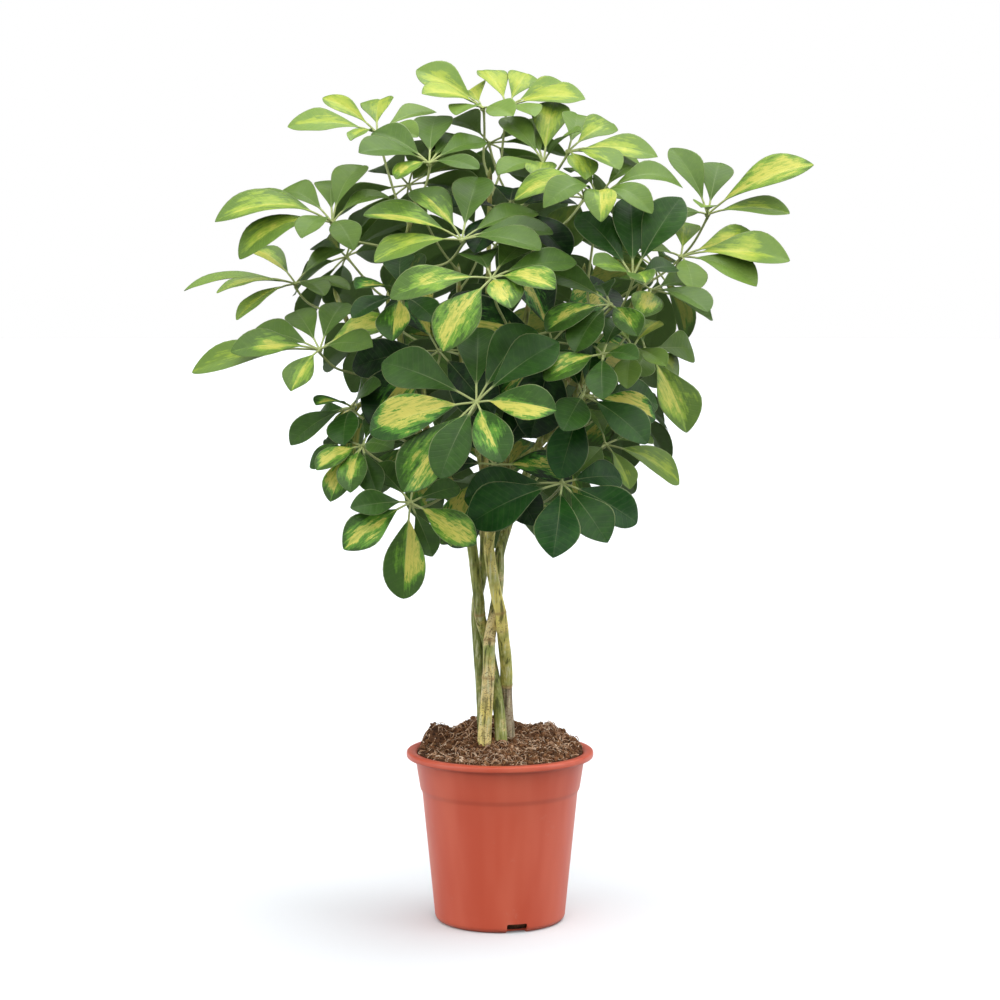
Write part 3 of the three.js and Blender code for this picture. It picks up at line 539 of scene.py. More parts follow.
@dataclass(frozen=True, kw_only=True)
class MouldedPot(Finish):
    """Polypropylene, injection moulded in a terracotta colour: even, satin, with faint flow marks and scuffs."""
    name: str = "polypropylene_moulded_terracotta"
    roughness: float = 0.42
    specular: float = 0.5
    ior: float = 1.49
    bump: tuple[float, float] = (0.12, 0.0004)
    body: str = "#c95236"
    pale: str = "#d96a4f"
    dust: str = "#c98f7b"
    flow_rate: Row = (26.0, 26.0, 5.0)  # flow marks run up the wall, about 30 mm wide

    def paint(self, add: AddNode) -> Paint:
        """Adds the flow marks, the scuffs and the fine grain.

        Args:
            add: Adds a node to the material.

        Returns:
            Them.
        """
        place = add("NewGeometry", out="Position")
        stretched = add("VectorMath.MULTIPLY", {0: place, 1: self.flow_rate})
        flow, grain, scuffs = (
            add("TexNoise", {"Vector": where, "Scale": rate, "Detail": detail, "Roughness": rough})
            for where, rate, detail, rough in ((stretched, 1.0, 2.0, 0.5), (place, 900.0, 2.0, 0.5),
                                               (place, 38.0, 8.0, 0.75)))
        dusty = add("MapRange", scuffs, 0.6, 0.78, 0.0, 0.35,
                    **EASED)
        return Paint(linear(self.body), (Layer(self.pale, flow, 0.3, 0.75, 0.7), Layer(self.dust, dusty)), height=grain,
                     gloss=add("Math.MULTIPLY_ADD", dusty, 0.5, self.roughness))


@dataclass(frozen=True, kw_only=True)
class StudioPaper(Finish):
    """White background paper, rolled, matte: it takes a soft shadow and nothing else."""
    name: str = "background_paper_rolled_matte"
    roughness: float = 0.9
    specular: float = 0.0
    ior: float = 1.5
    white: str = "#e2e6e9"

    def paint(self, add: AddNode) -> Paint:
        """Gives the plain white."""
        return Paint(linear(self.white))


# ---------------------------------------------------------------- pot
@dataclass
class Pot:
    """The nursery pot: a tapered wall with a wider band over a step, a turned-out rim and drain slots."""
    height: float = 192
    rim_radius: float = 105
    rim_depth: float = 7.5
    rim_curl: float = 2.2  # radius of the rim's lower edge
    rim_round: float = 2.6  # and of its upper edge
    top_radius: float = 95
    step_height: float = 149.5
    step_width: float = 2.4
    band_radius: float = 90
    base_radius: float = 73.5
    base_corner: float = 7
    base_lift: float = 1.2  # how far the base's middle is off the ground
    wall: float = 1.8
    sides: int = 192
    crease: float = 38  # degrees
    slots: int = 3
    slot_width: float = 23
    slot_height: float = 10.5
    slot_corner: float = 1.6
    slot_turn: float = -75

    @staticmethod
    def arc(x: float, z: float, radius: float, angles: Sequence[float]) -> list[tuple[float, float]]:
        """Gives points round a middle, at angles in radians from outwards to up."""
        return [(x + radius * cos(a), z + radius * sin(a)) for a in angles]

    def profile(self) -> list[tuple[float, float]]:
        """Gives the wall's section, from the middle of the base up the outside and down the inside.

        Returns:
            Radius and height of each point.
        """
        lip, brim, rim, curl, rounded = (
            self.height - self.rim_depth, self.height, self.rim_radius, self.rim_curl, self.rim_round)
        base, corner, top, band, step = (
            self.base_radius, self.base_corner, self.top_radius, self.band_radius, self.step_height)
        step_foot, inside, lift = band - self.step_width, base - self.wall, self.base_lift
        return [
            (0, lift), (base - 17, lift), (base - 14.5, 0), (base - corner, 0),
            *self.arc(base - corner, corner, corner, [a - pi / 2 for a in (0.35, 0.7, 1.05, 1.4)]),
            (base, corner), (base + 5, corner + 50), (base + 10, corner + 99), (step_foot - 0.35, step - 6),
            (step_foot + 0.3, step - 3), (band - 0.7, step - 0.8), (band, step + 2), (band + 2.4, step + 17),
            (top - 0.6, lip - 5), (top + 0.1, lip - 1.6), (top + 1.8, lip), (rim - 3.2, lip),
            *self.arc(rim - curl, lip + curl, curl, (-1.1, -0.6, 0)), (rim, brim - rounded),
            *self.arc(rim - rounded, brim - rounded, rounded, (0.5, 1.05, 1.57)),
            (top + 2.2, brim), (top + 0.3, brim - 0.7), (top - self.wall + 0.1, brim - 2.5),
            (band - self.wall, step + 2), (step_foot - self.wall, step - 1), (inside, corner),
            (inside - corner * 0.6, self.wall + lift), (0, self.wall + lift)]

    def slot_cutter(self, material: bpy.types.Material) -> bpy.types.Object:
        """Makes the blocks that cut the drain slots.

        Args:
            material: The pot's material.

        Returns:
            Them as one object.
        """
        draft = Draft()
        wide, high, soft, depths = (
            self.slot_width / 2, self.slot_height, self.slot_corner, (self.base_radius - 13, self.base_radius + 4))
        half = [(wide, -9), (wide, high - soft), (wide - soft * 0.3, high - soft * 0.3), (wide - soft, high)]
        shape = half + [(-y, z) for y, z in reversed(half)]
        for i in range(self.slots):
            turn = Matrix.Rotation(radians(self.slot_turn + 360 * i / self.slots), 3, "Z")
            rings = [[draft.put(turn @ Vector((x, y, z))) for y, z in shape] for x in depths]
            draft.loft(rings, (0, 0, 1, 1), tuple(draft.put(turn @ Vector((x, 0, 2))) for x in depths))
        return draft.build("slot_cutter", material)

    def build(self) -> None:
        """Makes the pot and cuts its drain slots."""
        draft, section = Draft(), self.profile()
        rings = [draft.level_ring(radius, height, self.sides) for radius, height in section[1:-1]]
        draft.loft(rings, WHOLE_MAP, tuple(draft.put(Vector((0, 0, section[i][1]))) for i in (0, -1)))
        pot = draft.build("pot_wall", MouldedPot().material(), self.crease)
        tool = self.slot_cutter(pot.data.materials[0])
        cut = pot.modifiers.new("slots", "BOOLEAN")
        cut.object, cut.operation, cut.solver = tool, "DIFFERENCE", "EXACT"
        shape = bpy.data.meshes.new_from_object(pot.evaluated_get(bpy.context.evaluated_depsgraph_get()))
        pot.modifiers.clear()
        pot.data = shape
        shape.name = "pot_wall"
        bpy.data.objects.remove(tool)
        shape.set_sharp_from_angle(angle=radians(self.crease))
        place_piece(pot, "pot", "pot")


# ---------------------------------------------------------------- soil
@dataclass(frozen=True)
class Lump:
    """A rise of the soil: its place, how wide it spreads and how high it stands."""
    x: float
    y: float
    spread: float
    rise: float


@dataclass
class Soil:
    """Peat with coconut fibre, heaped in the pot."""
    radius: float = 93.2
    edge_height: float = 190
    mound: float = 13
    back_rise: float = 0.09
    grain: float = 1.6  # how high the even waves are
    quiet_edge: float = 6  # how far from the pot the crumbs are at their full height
    foot: tuple[tuple[float, float], ...] = ((63.7, 2.9), (70.7, 9), (84.5, 147.5), (87.2, 155.5))
    lumps: tuple[Lump, ...] = (Lump(-76, 38, 17, 19), Lump(-30, 52, 26, 12), Lump(0, 40, 28, 12), Lump(58, 46, 26, 13),
                               Lump(84, 14, 13, 7), Lump(-30, -40, 24, -3))
    rings: int = 62
    sides: int = 264
    crumbs: int = 900
    crumb_sizes: tuple[float, ...] = (1.0, 1.3, 1.6, 2.1, 2.9)
    crumb_margin: float = 4
    fibres: int = 760
    fibre_radii: tuple[float, ...] = (0.22, 0.3, 0.4, 0.6)
    fibre_lengths: tuple[float, float] = (7, 24)
    fibre_margin: float = 6
    fibre_steps: int = 9
    cell_gap: float = 0.05
    seed: int = 11

    def surface(self, x: float, y: float, lift: float = 0.0) -> Vector:
        """Finds a place on the crumbly surface.

        Args:
            x: Place across.
            y: Place in depth.
            lift: How far over the surface it is.

        Returns:
            The place.
        """
        far = hypot(x, y)
        r = far / self.radius
        z = self.edge_height + self.mound * max(0, 1 - r ** 2) + self.back_rise * y * max(0, 1 - r ** 4)
        for lump in self.lumps:
            z += lump.rise * exp(-((x - lump.x) ** 2 + (y - lump.y) ** 2) / lump.spread ** 2)
        z += self.grain * sin(0.31 * x + 1.1 * sin(0.17 * y)) * cos(0.27 * y) * min(1, 3 * (1 - r))
        crumbly = sum(share * noise.noise(Vector((x, y, layer)) / size)
                      for share, layer, size in ((2.4, 3, 6.5), (1.5, 9, 2.6)))
        crumbly += abs(noise.noise(Vector((x, y, 5)) / 11)) * 2.5
        return Vector((x, y, z + crumbly * max(0.15, min(1.0, (self.radius - far) / self.quiet_edge)) + lift))

    def scatter(self, chance: random.Random, margin: float) -> tuple[float, float]:
        """Draws a place on the soil that is at least a margin from its edge."""
        far, turn = (self.radius - margin) * sqrt(chance.random()), chance.uniform(0, 2 * pi)
        return far * cos(turn), far * sin(turn)

    def bed(self, material: bpy.types.Material) -> bpy.types.Object:
        """Makes the heap down to the pot's base.

        Args:
            material: The peat.

        Returns:
            The piece.
        """
        draft = Draft()
        rings = [draft.level_ring(radius, height, self.sides) for radius, height in self.foot]
        for i in range(self.rings):
            radius = (self.radius - 0.5) * (1 - i / self.rings)
            rings.append([draft.put(self.surface(radius * cos(t), radius * sin(t))) for t in turns(self.sides)])
        draft.loft(rings, WHOLE_MAP, (draft.put(Vector((0, 0, self.foot[0][1]))), draft.put(self.surface(0, 0))))
        return draft.build("soil_bed", material)

    def crumb_heap(self, material: bpy.types.Material) -> bpy.types.Object:
        """Scatters crumbs over the surface.

        Args:
            material: The crumbs' own.

        Returns:
            The piece.
        """
        chance = random.Random(self.seed)
        draft = Draft()
        for cell in cells(self.crumbs, self.cell_gap):
            x, y = self.scatter(chance, self.crumb_margin)
            size = chance.choice(self.crumb_sizes)
            middle = self.surface(x, y, size * 0.35)
            turn = Matrix.Rotation(chance.uniform(0, 3.1), 3, (chance.random(), chance.random(), 0.4))
            shape = turn @ Matrix.Diagonal((size * chance.uniform(0.8, 1.7), size, size * chance.uniform(0.5, 0.9)))
            rings = []
            for lift in (-0.7, 0.0, 0.7):
                wide = sqrt(1 - lift ** 2)
                corners = [Vector((wide * cos(t), wide * sin(t), lift)) for t in turns(6)]
                rings.append([draft.put(middle + shape @ (corner * chance.uniform(0.78, 1.15))) for corner in corners])
            draft.loft(rings, cell, tuple(draft.put(middle + shape @ Vector((0, 0, end))) for end in (-1, 1)))
        return draft.build("soil_crumbs", material, crease=40)

    def strands(self, material: bpy.types.Material) -> bpy.types.Object:
        """Lays curled fibres on the surface.

        Args:
            material: Their own.

        Returns:
            The piece.
        """
        chance = random.Random(self.seed + 1)
        draft = Draft()
        steps = self.fibre_steps
        for cell in cells(self.fibres, self.cell_gap):
            x, y = self.scatter(chance, self.fibre_margin)
            heading, curl = chance.uniform(0, 2 * pi), chance.uniform(-0.5, 0.5)
            length, thick = chance.uniform(*self.fibre_lengths), chance.choice(self.fibre_radii)
            hop = chance.uniform(0.3, 3.2)
            places = []
            for i in range(steps):
                lift = 0.2 + hop * sin(pi * i / (steps - 1)) + chance.uniform(-0.3, 0.3)
                if hypot(x, y) > self.radius - 2:
                    heading += 1.2
                places.append(self.surface(x, y, lift))
                heading += curl + chance.uniform(-0.25, 0.25)
                x += cos(heading) * length / steps
                y += sin(heading) * length / steps
            radii = [thick * (0.55 + 0.45 * sin(pi * (i + 0.4) / steps)) for i in range(steps)]
            draft.tube(places, radii, 5, cell)
        return draft.build("soil_fibres", material)

    def build(self) -> None:
        """Makes the heap, its crumbs and its fibres."""
        peat = MottledMatter(name="peat_soil_crumbled", dark="#33231a", middle="#6c4c36", pale="#a07c5a", grain=0.0032)
        bits = MottledMatter(name="bark_crumbs_shredded", dark="#442c1e", middle="#875f42", pale="#c19a6c",
                             grain=0.0045, pale_from=0.56)
        coir = MottledMatter(name="coconut_fibre_curled", dark="#8f694c", middle="#cda685", pale="#efd8be", grain=0.012,
                             pale_from=0.5, roughness=0.8)
        place_piece(self.bed(peat.material()), "soil", "soil")
        place_piece(self.crumb_heap(bits.material()), "soil")
        place_piece(self.strands(coir.material()), "soil")


# ---------------------------------------------------------------- stems
@dataclass(frozen=True)
class Branch:
    """A shoot of a stem: where on the stem it starts, and its line."""
    start: float
    points: tuple[Row, ...]


@dataclass(frozen=True)
class StemLine:
    """One stem: its girth at the soil and at the crown, its flare, its line, its shoots and its bark.

    Each row of bark holds a height, how corky the bark is there and how much gold its green has, where below 0 it is a
    painted shade that darkens the green. Each of scars is the height of a ring that an old leaf left.
    """
    name: str
    base: float
    neck: float
    flare: float
    points: tuple[Row, ...]
    shoots: tuple[Branch, ...]
    bark: tuple[Row, ...]
    scars: tuple[float, ...] = ()

    def look(self, z: float) -> tuple[float, float]:
        """Reads the bark at a height.

        Args:
            z: The height.

        Returns:
            How corky it is, and how much gold its green has, below 0 a painted shade.
        """
        for (low, *under), (high, *over) in zip(self.bark, self.bark[1:]):
            if z < high:
                share = smooth(low, high, z)
                return tuple(a + (b - a) * share for a, b in zip(under, over))
        return self.bark[-1][1:]


# In each stem's bark rows, a last number below 0 is a painted shade.
STEM_LINES = (
    StemLine("stem_a", 7.5, 5.6, 0.04, (
        (-17.5, -15, 120), (-17.5, -15, 200), (-14.8, -17, 248), (-12.5, -17, 284), (-11.5, -12.6, 319),
        (-5.8, 0.8, 349), (-2.5, 5.6, 372), (-1, 9, 394), (1, 11, 419), (22, 32, 480), (55, 60, 560), (84, 76, 650),
        (96, 74, 735)), (
        Branch(500, ((78, 42, 560), (124, 22, 640), (158, -6, 716))), Branch(590, ((96, 104, 630), (118, 128, 690)))),
        ((190, 0.6, 0.75), (212, 0.7, 0.3), (236, 0.6, 0.7), (258, 0.75, 0.2), (282, 0.7, 0.2), (296, 0.2, 0.2),
         (308, 0.2, 0.2), (316, 0.8, 0.1), (336, 0.7, 0), (352, 0.3, -0.2), (424, 0.2, -0.3), (520, 0.05, 0)),
        (276, 317)),
    StemLine("stem_b", 7.5, 6, 0.2, (
        (9.5, 5, 120), (9, 5, 200), (6.6, 5.4, 250), (7, -1.4, 284), (3.8, -11.2, 319), (0.8, -16.4, 347),
        (-3, -16.5, 364), (-7, -15.5, 385), (-11, -15, 408), (-12, -20, 430), (-6, -42, 470), (6, -74, 530),
        (12, -92, 600), (10, -96, 670)), (
        Branch(452, ((-46, -76, 490), (-76, -104, 540), (-82, -108, 610))),
        Branch(505, ((48, -84, 545), (84, -94, 600), (104, -96, 672)))),
        ((200, 1.5, 0), (262, 1.6, 0), (267, 0.05, 0.4), (300, 0.05, 0.2), (320, 0.15, 0.45), (335, 0.5, 0.7),
         (350, 0.1, 1.1), (366, 0.1, 1.0), (384, 0.3, 0.5), (424, 0.3, 0.5), (520, 0.05, 0)), (265, 349)),
    StemLine("stem_c", 6.4, 5.6, 0, (
        (-18.5, 5, 120), (-19, 5, 208), (-21, 7.5, 259), (-23.5, 11, 293), (-25.6, 15, 321), (-26.6, 15.5, 344),
        (-25.5, 13.5, 361), (-21, 12, 383), (-18, 11, 406), (-17, 9, 424), (-18, 6, 480), (-16, 0, 600), (-13, -6, 720),
        (-11, -8, 838)), (
        Branch(500, ((-34, 58, 570), (-46, 98, 650), (-48, 116, 736))),
        Branch(560, ((14, 48, 620), (34, 60, 700), (40, 62, 786)))),
        ((200, 0.2, -0.6), (300, 0.05, -0.5), (360, 0.05, -0.3), (424, 0.25, -0.1), (520, 0.05, 0))),
    StemLine("stem_d", 6.6, 5.8, 0.05, (
        (2, -9, 120), (1.5, -9, 200), (-2.4, -8, 248), (-8, -0.6, 282), (-15.4, 5.6, 317), (-21.8, -2.8, 341),
        (-23.4, -6.5, 361), (-27, -5, 389), (-30.5, -4, 417), (-36, -9, 450), (-60, -26, 504), (-88, -42, 575),
        (-108, -54, 650), (-104, -60, 740), (-92, -60, 800)), (
        Branch(525, ((-124, -22, 590), (-158, -22, 650), (-182, -24, 706))),
        Branch(500, ((-96, 18, 560), (-122, 52, 630), (-128, 74, 704)))),
        ((190, 0.3, 0.55), (215, 0.15, -0.1), (290, 0.1, -0.5), (330, 0.05, 0.1), (344, 0.4, 0.1), (349, 0.05, -0.4),
         (372, 0.05, -0.4), (390, 0.1, 0.1), (424, 0.1, 0.1), (520, 0.05, 0)), (346,)),
)


@dataclass
class Trunk:
    """The four stems, wound round each other below the crown and branching inside it."""
    crown_foot: float = 424
    crown_rise: float = 320  # over which a stem thins to a shoot's tip
    trunk_rise: float = 220  # over which it thins below the crown
    shoot_base: float = 4
    shoot_tip: float = 2.6
    step: float = 2.6
    stem_sides: int = 22
    shoot_sides: int = 14
    scar_gap: tuple[float, float] = (17, 34)
    scar_half: float = 1.7
    scar_rise: float = 0.085
    knobs: float = 0.045  # how uneven the girth is
    soil_top: float = 196
    flare_rise: float = 14  # how fast a stem's foot narrows upwards
    bud: float = 3

    def girth(self, line: StemLine, z: float) -> float:
        """Gives a stem's radius.

        Args:
            line: The stem.
            z: The height.

        Returns:
            The radius there.
        """
        if z > self.crown_foot:
            return line.neck + (self.shoot_tip - line.neck) * min(1, (z - self.crown_foot) / self.crown_rise)
        flare = 1 + line.flare * exp(-abs(z - self.soil_top) / self.flare_rise)
        return flare * (line.neck + (line.base - line.neck) * min(1, (self.crown_foot - z) / self.trunk_rise))

    def limb(self, draft: Draft, line: StemLine, points: Sequence[Vector], girth: Callable[[Vector, float], float],
             number: int, sides: int, cell: Cell) -> None:
        """Adds a stem or shoot with its leaf scars and the bud at its end.

        Args:
            draft: The mesh it goes into.
            line: The stem that it is or grows from.
            points: Its line.
            girth: The radius at a place and a share of the line.
            number: Its own number, for its chances.
            sides: Points round it.
            cell: Its part of the bake map.
        """
        chance = random.Random(number)
        rough = [spline(points, i / 60) for i in range(61)]
        length = sum((b - a).length for a, b in zip(rough, rough[1:]))
        count = round(length / self.step)
        places = [spline(points, i / count) for i in range(count + 1)]
        faint, at = [], chance.uniform(4, 20)
        while at < length - 6:
            faint.append((at, chance.uniform(0.5, 1.0)))
            at += chance.uniform(*self.scar_gap)
        travelled, radii, marks = 0.0, [], []
        for i, place in enumerate(places):
            travelled += (place - places[i - 1]).length if i else 0
            scar = max((strong * exp(-((travelled - s) / self.scar_half) ** 2) for s, strong in faint), default=0)
            scar *= 0.25 + 0.75 * smooth(self.crown_foot, self.crown_foot + 40, place.z)
            scar = max([scar, *(exp(-((place.z - z) / self.scar_half) ** 2) for z in line.scars)])
            swell = 1 + self.scar_rise * scar + self.knobs * noise.noise(Vector((travelled / 16, number, 0)))
            radii.append(girth(place, i / count) * swell * min(1.0, 0.45 + (length - travelled) / 9))
            corky, gold_and_shade = line.look(place.z)
            marks.append({"BARK": (corky, scar * 0.7, gold_and_shade)})
        draft.tube(places, radii, sides, cell, marks, self.bud)

    def build(self) -> None:
        """Makes each stem with its shoots as one piece."""
        bark = GreenBark().material()
        for n, line in enumerate(STEM_LINES):
            draft = Draft()
            points = [Vector(p) for p in line.points]
            self.limb(draft, line, points, lambda at, share: self.girth(line, at.z), 10 * n, self.stem_sides,
                      (0.01, 0.01, 0.48, 0.98))
            for k, shoot in enumerate(line.shoots):
                root = next(p for p in (spline(points, i / 400) for i in range(400)) if p.z >= shoot.start)
                self.limb(draft, line, [root, *map(Vector, shoot.points)],
                          lambda at, share: self.shoot_base + (self.shoot_tip - self.shoot_base) * share,
                          10 * n + k + 1, self.shoot_sides, (0.51 + 0.24 * k, 0.01, 0.22, 0.98))
            place_piece(draft.build(line.name + "_bark", bark), "bark", line.name)


# ---------------------------------------------------------------- crown
class Marbling(Enum):
    """How far the yellow spreads over a leaflet, by the letter it has in LEAF_LOOKS."""
    GREEN = "g"
    MARBLED = "m"
    YELLOW = "y"
    HALF = "h"
    PALE = "p"

    @property
    def spread(self) -> float:
        """Gives the share of the blade's half width that the yellow takes."""
        return {"g": 0.0, "m": 0.66, "y": 0.92, "h": 0.8, "p": 0.3}[self.value]

    @property
    def youth(self) -> float:
        """Gives what is added to how young the whole leaf looks."""
        return 0.35 if self is Marbling.PALE else 0.0


# For each leaf that the front shows: its leaflets' marbling, from the one that points left round by the bottom to
# the right and over the top, with a capital for a narrow leaflet, and how young it looks, from 0, old and dark, to 1.
LEAF_LOOKS = {
    "front_centre": ("yygmhgggg", 0.12), "front_upper": ("myyyggg", 0.3), "upper_centre": ("pggggmh", 0.4),
    "upper_left": ("YGggggg", 0.42), "top_left": ("PggmYp", 0.9), "apex_left": ("ggmmy", 1), "apex_right": ("gymmy", 1),
    "top_right": ("gmgmgg", 0.7), "right_crown": ("mmgymg", 0.8), "arched_right": ("yghgggg", 0.6),
    "far_right": ("gpyMggp", 0.5), "right_middle": ("ggympg", 0.75), "dark_right": ("pggggp", 0.1),
    "right_lower": ("ygggg", 0.4), "centre_right": ("mgmgg", 0.2), "left_front": ("mPmgyggg", 0.45),
    "left_upper": ("mggggggym", 0.65), "far_left": ("PPPgggh", 0.62), "left_shaded": ("ghggm", 0.1),
    "lower_left": ("gggggm", 0.15), "lower_left_front": ("myymgggg", 0.2), "low_front_left": ("gmhgyggg", 0.15),
    "low_front_right": ("ggggggg", 0), "right_front": ("ggghgg", 0.05), "right_drooping": ("gypgg", 0.5),
    "right_pale": ("pgghp", 0.7), "right_bottom": ("gppgg", 0.5), "right_inner": ("mgggg", 0.15),
}


@dataclass
class Leaflet:
    """One leaflet as its solid has it: the tip from the hub, the way its top looks, its arch and half width."""
    tip: Vector
    up: Vector
    arch: float
    half: float


@dataclass
class LeafPlan:
    """One leaf as its solid has it: hub, facing, leaflets, points up its stalk, and the way that leaves the stem."""
    hub: Vector
    face: Vector
    leaflets: list[Leaflet]
    stalk: list[Vector]
    out: Vector


@dataclass
class LeafReader:
    """Reads where a leaf's parts are from its CAD solid, by how its facets join."""
    stalk_radius: float = 1.9
    hub_radius: float = 3.6
    hub_top: float = 2.88
    hub_half: float = 1.5
    hub_dome: float = 2.6
    hub_clear: float = 20  # how far from the hub a stalk's root and the tips are at least
    tip_sides: int = 4  # edges that meet at a root or a tip
    blade_start: float = 0.17
    station: float = 0.65

    def joined(self, node: str) -> tuple[list[Vector], list[set[int]]]:
        """Merges a node's points by place.

        Args:
            node: Its name.

        Returns:
            The points in millimetres, and for each the points it shares an edge with.
        """
        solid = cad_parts[node]
        places = [solid.matrix_world @ vertex.co / MM for vertex in solid.data.vertices]
        keys = [tuple(round(value, 3) for value in place) for place in places]
        points: dict[tuple[float, ...], Vector] = {}
        for key, place in zip(keys, places):
            points.setdefault(key, place)
        number = {key: i for i, key in enumerate(points)}
        near: list[set[int]] = [set() for _ in points]
        for edge in solid.data.edges:
            a, b = (number[keys[i]] for i in edge.vertices)
            near[a].add(b)
            near[b].add(a)
        return list(points.values()), [others - {i} for i, others in enumerate(near)]

    @staticmethod
    def levels(near: list[set[int]], start: int, count: int) -> list[set[int]]:
        """Walks out from a point, one edge at a time.

        Args:
            near: Each point's neighbours.
            start: Where the walk starts.
            count: How many steps it takes.

        Returns:
            The points met at each step.
        """
        seen, layers = {start}, [{start}]
        for _ in range(count):
            layers.append({j for i in layers[-1] for j in near[i]} - seen)
            seen |= layers[-1]
        return layers[1:]

    @staticmethod
    def normal(spokes: Sequence[Vector], towards: Vector) -> Vector:
        """Gives the way that the widest two of some spokes look, on the side that is given."""
        way = max((a.cross(b) for a, b in combinations(spokes, 2)), key=lambda cross: cross.length).normalized()
        return -way if way.dot(towards) < 0 else way

    def read(self, node: str) -> LeafPlan:
        """Reads one leaf.

        Args:
            node: The leaf's CAD node.

        Returns:
            Its plan.
        """
        points, near = self.joined(node)
        gaps = (hypot(self.hub_top, self.hub_dome - self.hub_half), hypot(self.hub_radius, self.hub_dome))
        dome = min(range(len(points)), key=lambda i: max(
            min(abs((points[j] - points[i]).length - gap) for gap in gaps) for j in near[i]))
        corners = sorted(near[dome], key=lambda i: (points[i] - points[dome]).length)[len(near[dome]) // 2:]
        trios = [(points[a], points[b], points[c]) for a, b, c in combinations(corners, 3)]
        face = max(((b - a).cross(c - a) for a, b, c in trios), key=lambda normal: normal.length).normalized()
        middle = sum((points[i] for i in corners), Vector()) / len(corners)
        if face.dot(points[dome] - middle) < 0:
            face = -face
        hub = points[dome] - face * self.hub_dome
        leaflets = []
        for i, point in enumerate(points):
            if len(near[i]) != self.tip_sides or (point - hub).length <= self.hub_clear:
                continue
            gaps = [(points[j] - point).length for j in near[i]]
            if max(gaps) < self.stalk_radius + 0.1:
                root = i
            elif min(gaps) > self.stalk_radius + 0.4:
                leaflets.append(self.leaflet(points, near, i, hub, face))
        rings = self.levels(near, root, 4)
        stalk = [sum((points[j] for j in ring), Vector()) / len(ring) for ring in rings] + [hub - face * self.hub_half]
        out = self.normal([points[j] - points[root] for j in rings[0]], stalk[1] - stalk[0])
        leaflets.sort(key=lambda leaflet: atan2(leaflet.tip.z, leaflet.tip.x))
        return LeafPlan(hub, face, leaflets, stalk, out)

    def leaflet(self, points: list[Vector], near: list[set[int]], tip: int, hub: Vector, face: Vector) -> Leaflet:
        """Reads one leaflet.

        Args:
            points: The leaf's points.
            near: Their neighbours.
            tip: The leaflet's tip.
            hub: Where the leaflets meet.
            face: The way the leaf looks.

        Returns:
            The leaflet.
        """
        way = points[tip] - hub
        along = way.normalized()
        up = (face - along * face.dot(along)).normalized()
        left = up.cross(along)
        section = [points[i] - hub for i in self.levels(near, tip, 2)[1]]
        sides = [p.dot(left) for p in section]
        wide_at = sin(pi * self.station ** 1.5) ** 0.65
        share = self.blade_start + (1 - self.blade_start) * self.station
        ridge = sorted(section, key=lambda p: abs(p.dot(left)))[:2]
        rise = sum(p.dot(up) for p in ridge) / 2
        return Leaflet(way, up, rise / (4 * way.length * share * (1 - share)), (max(sides) - min(sides)) / 2 / wide_at)


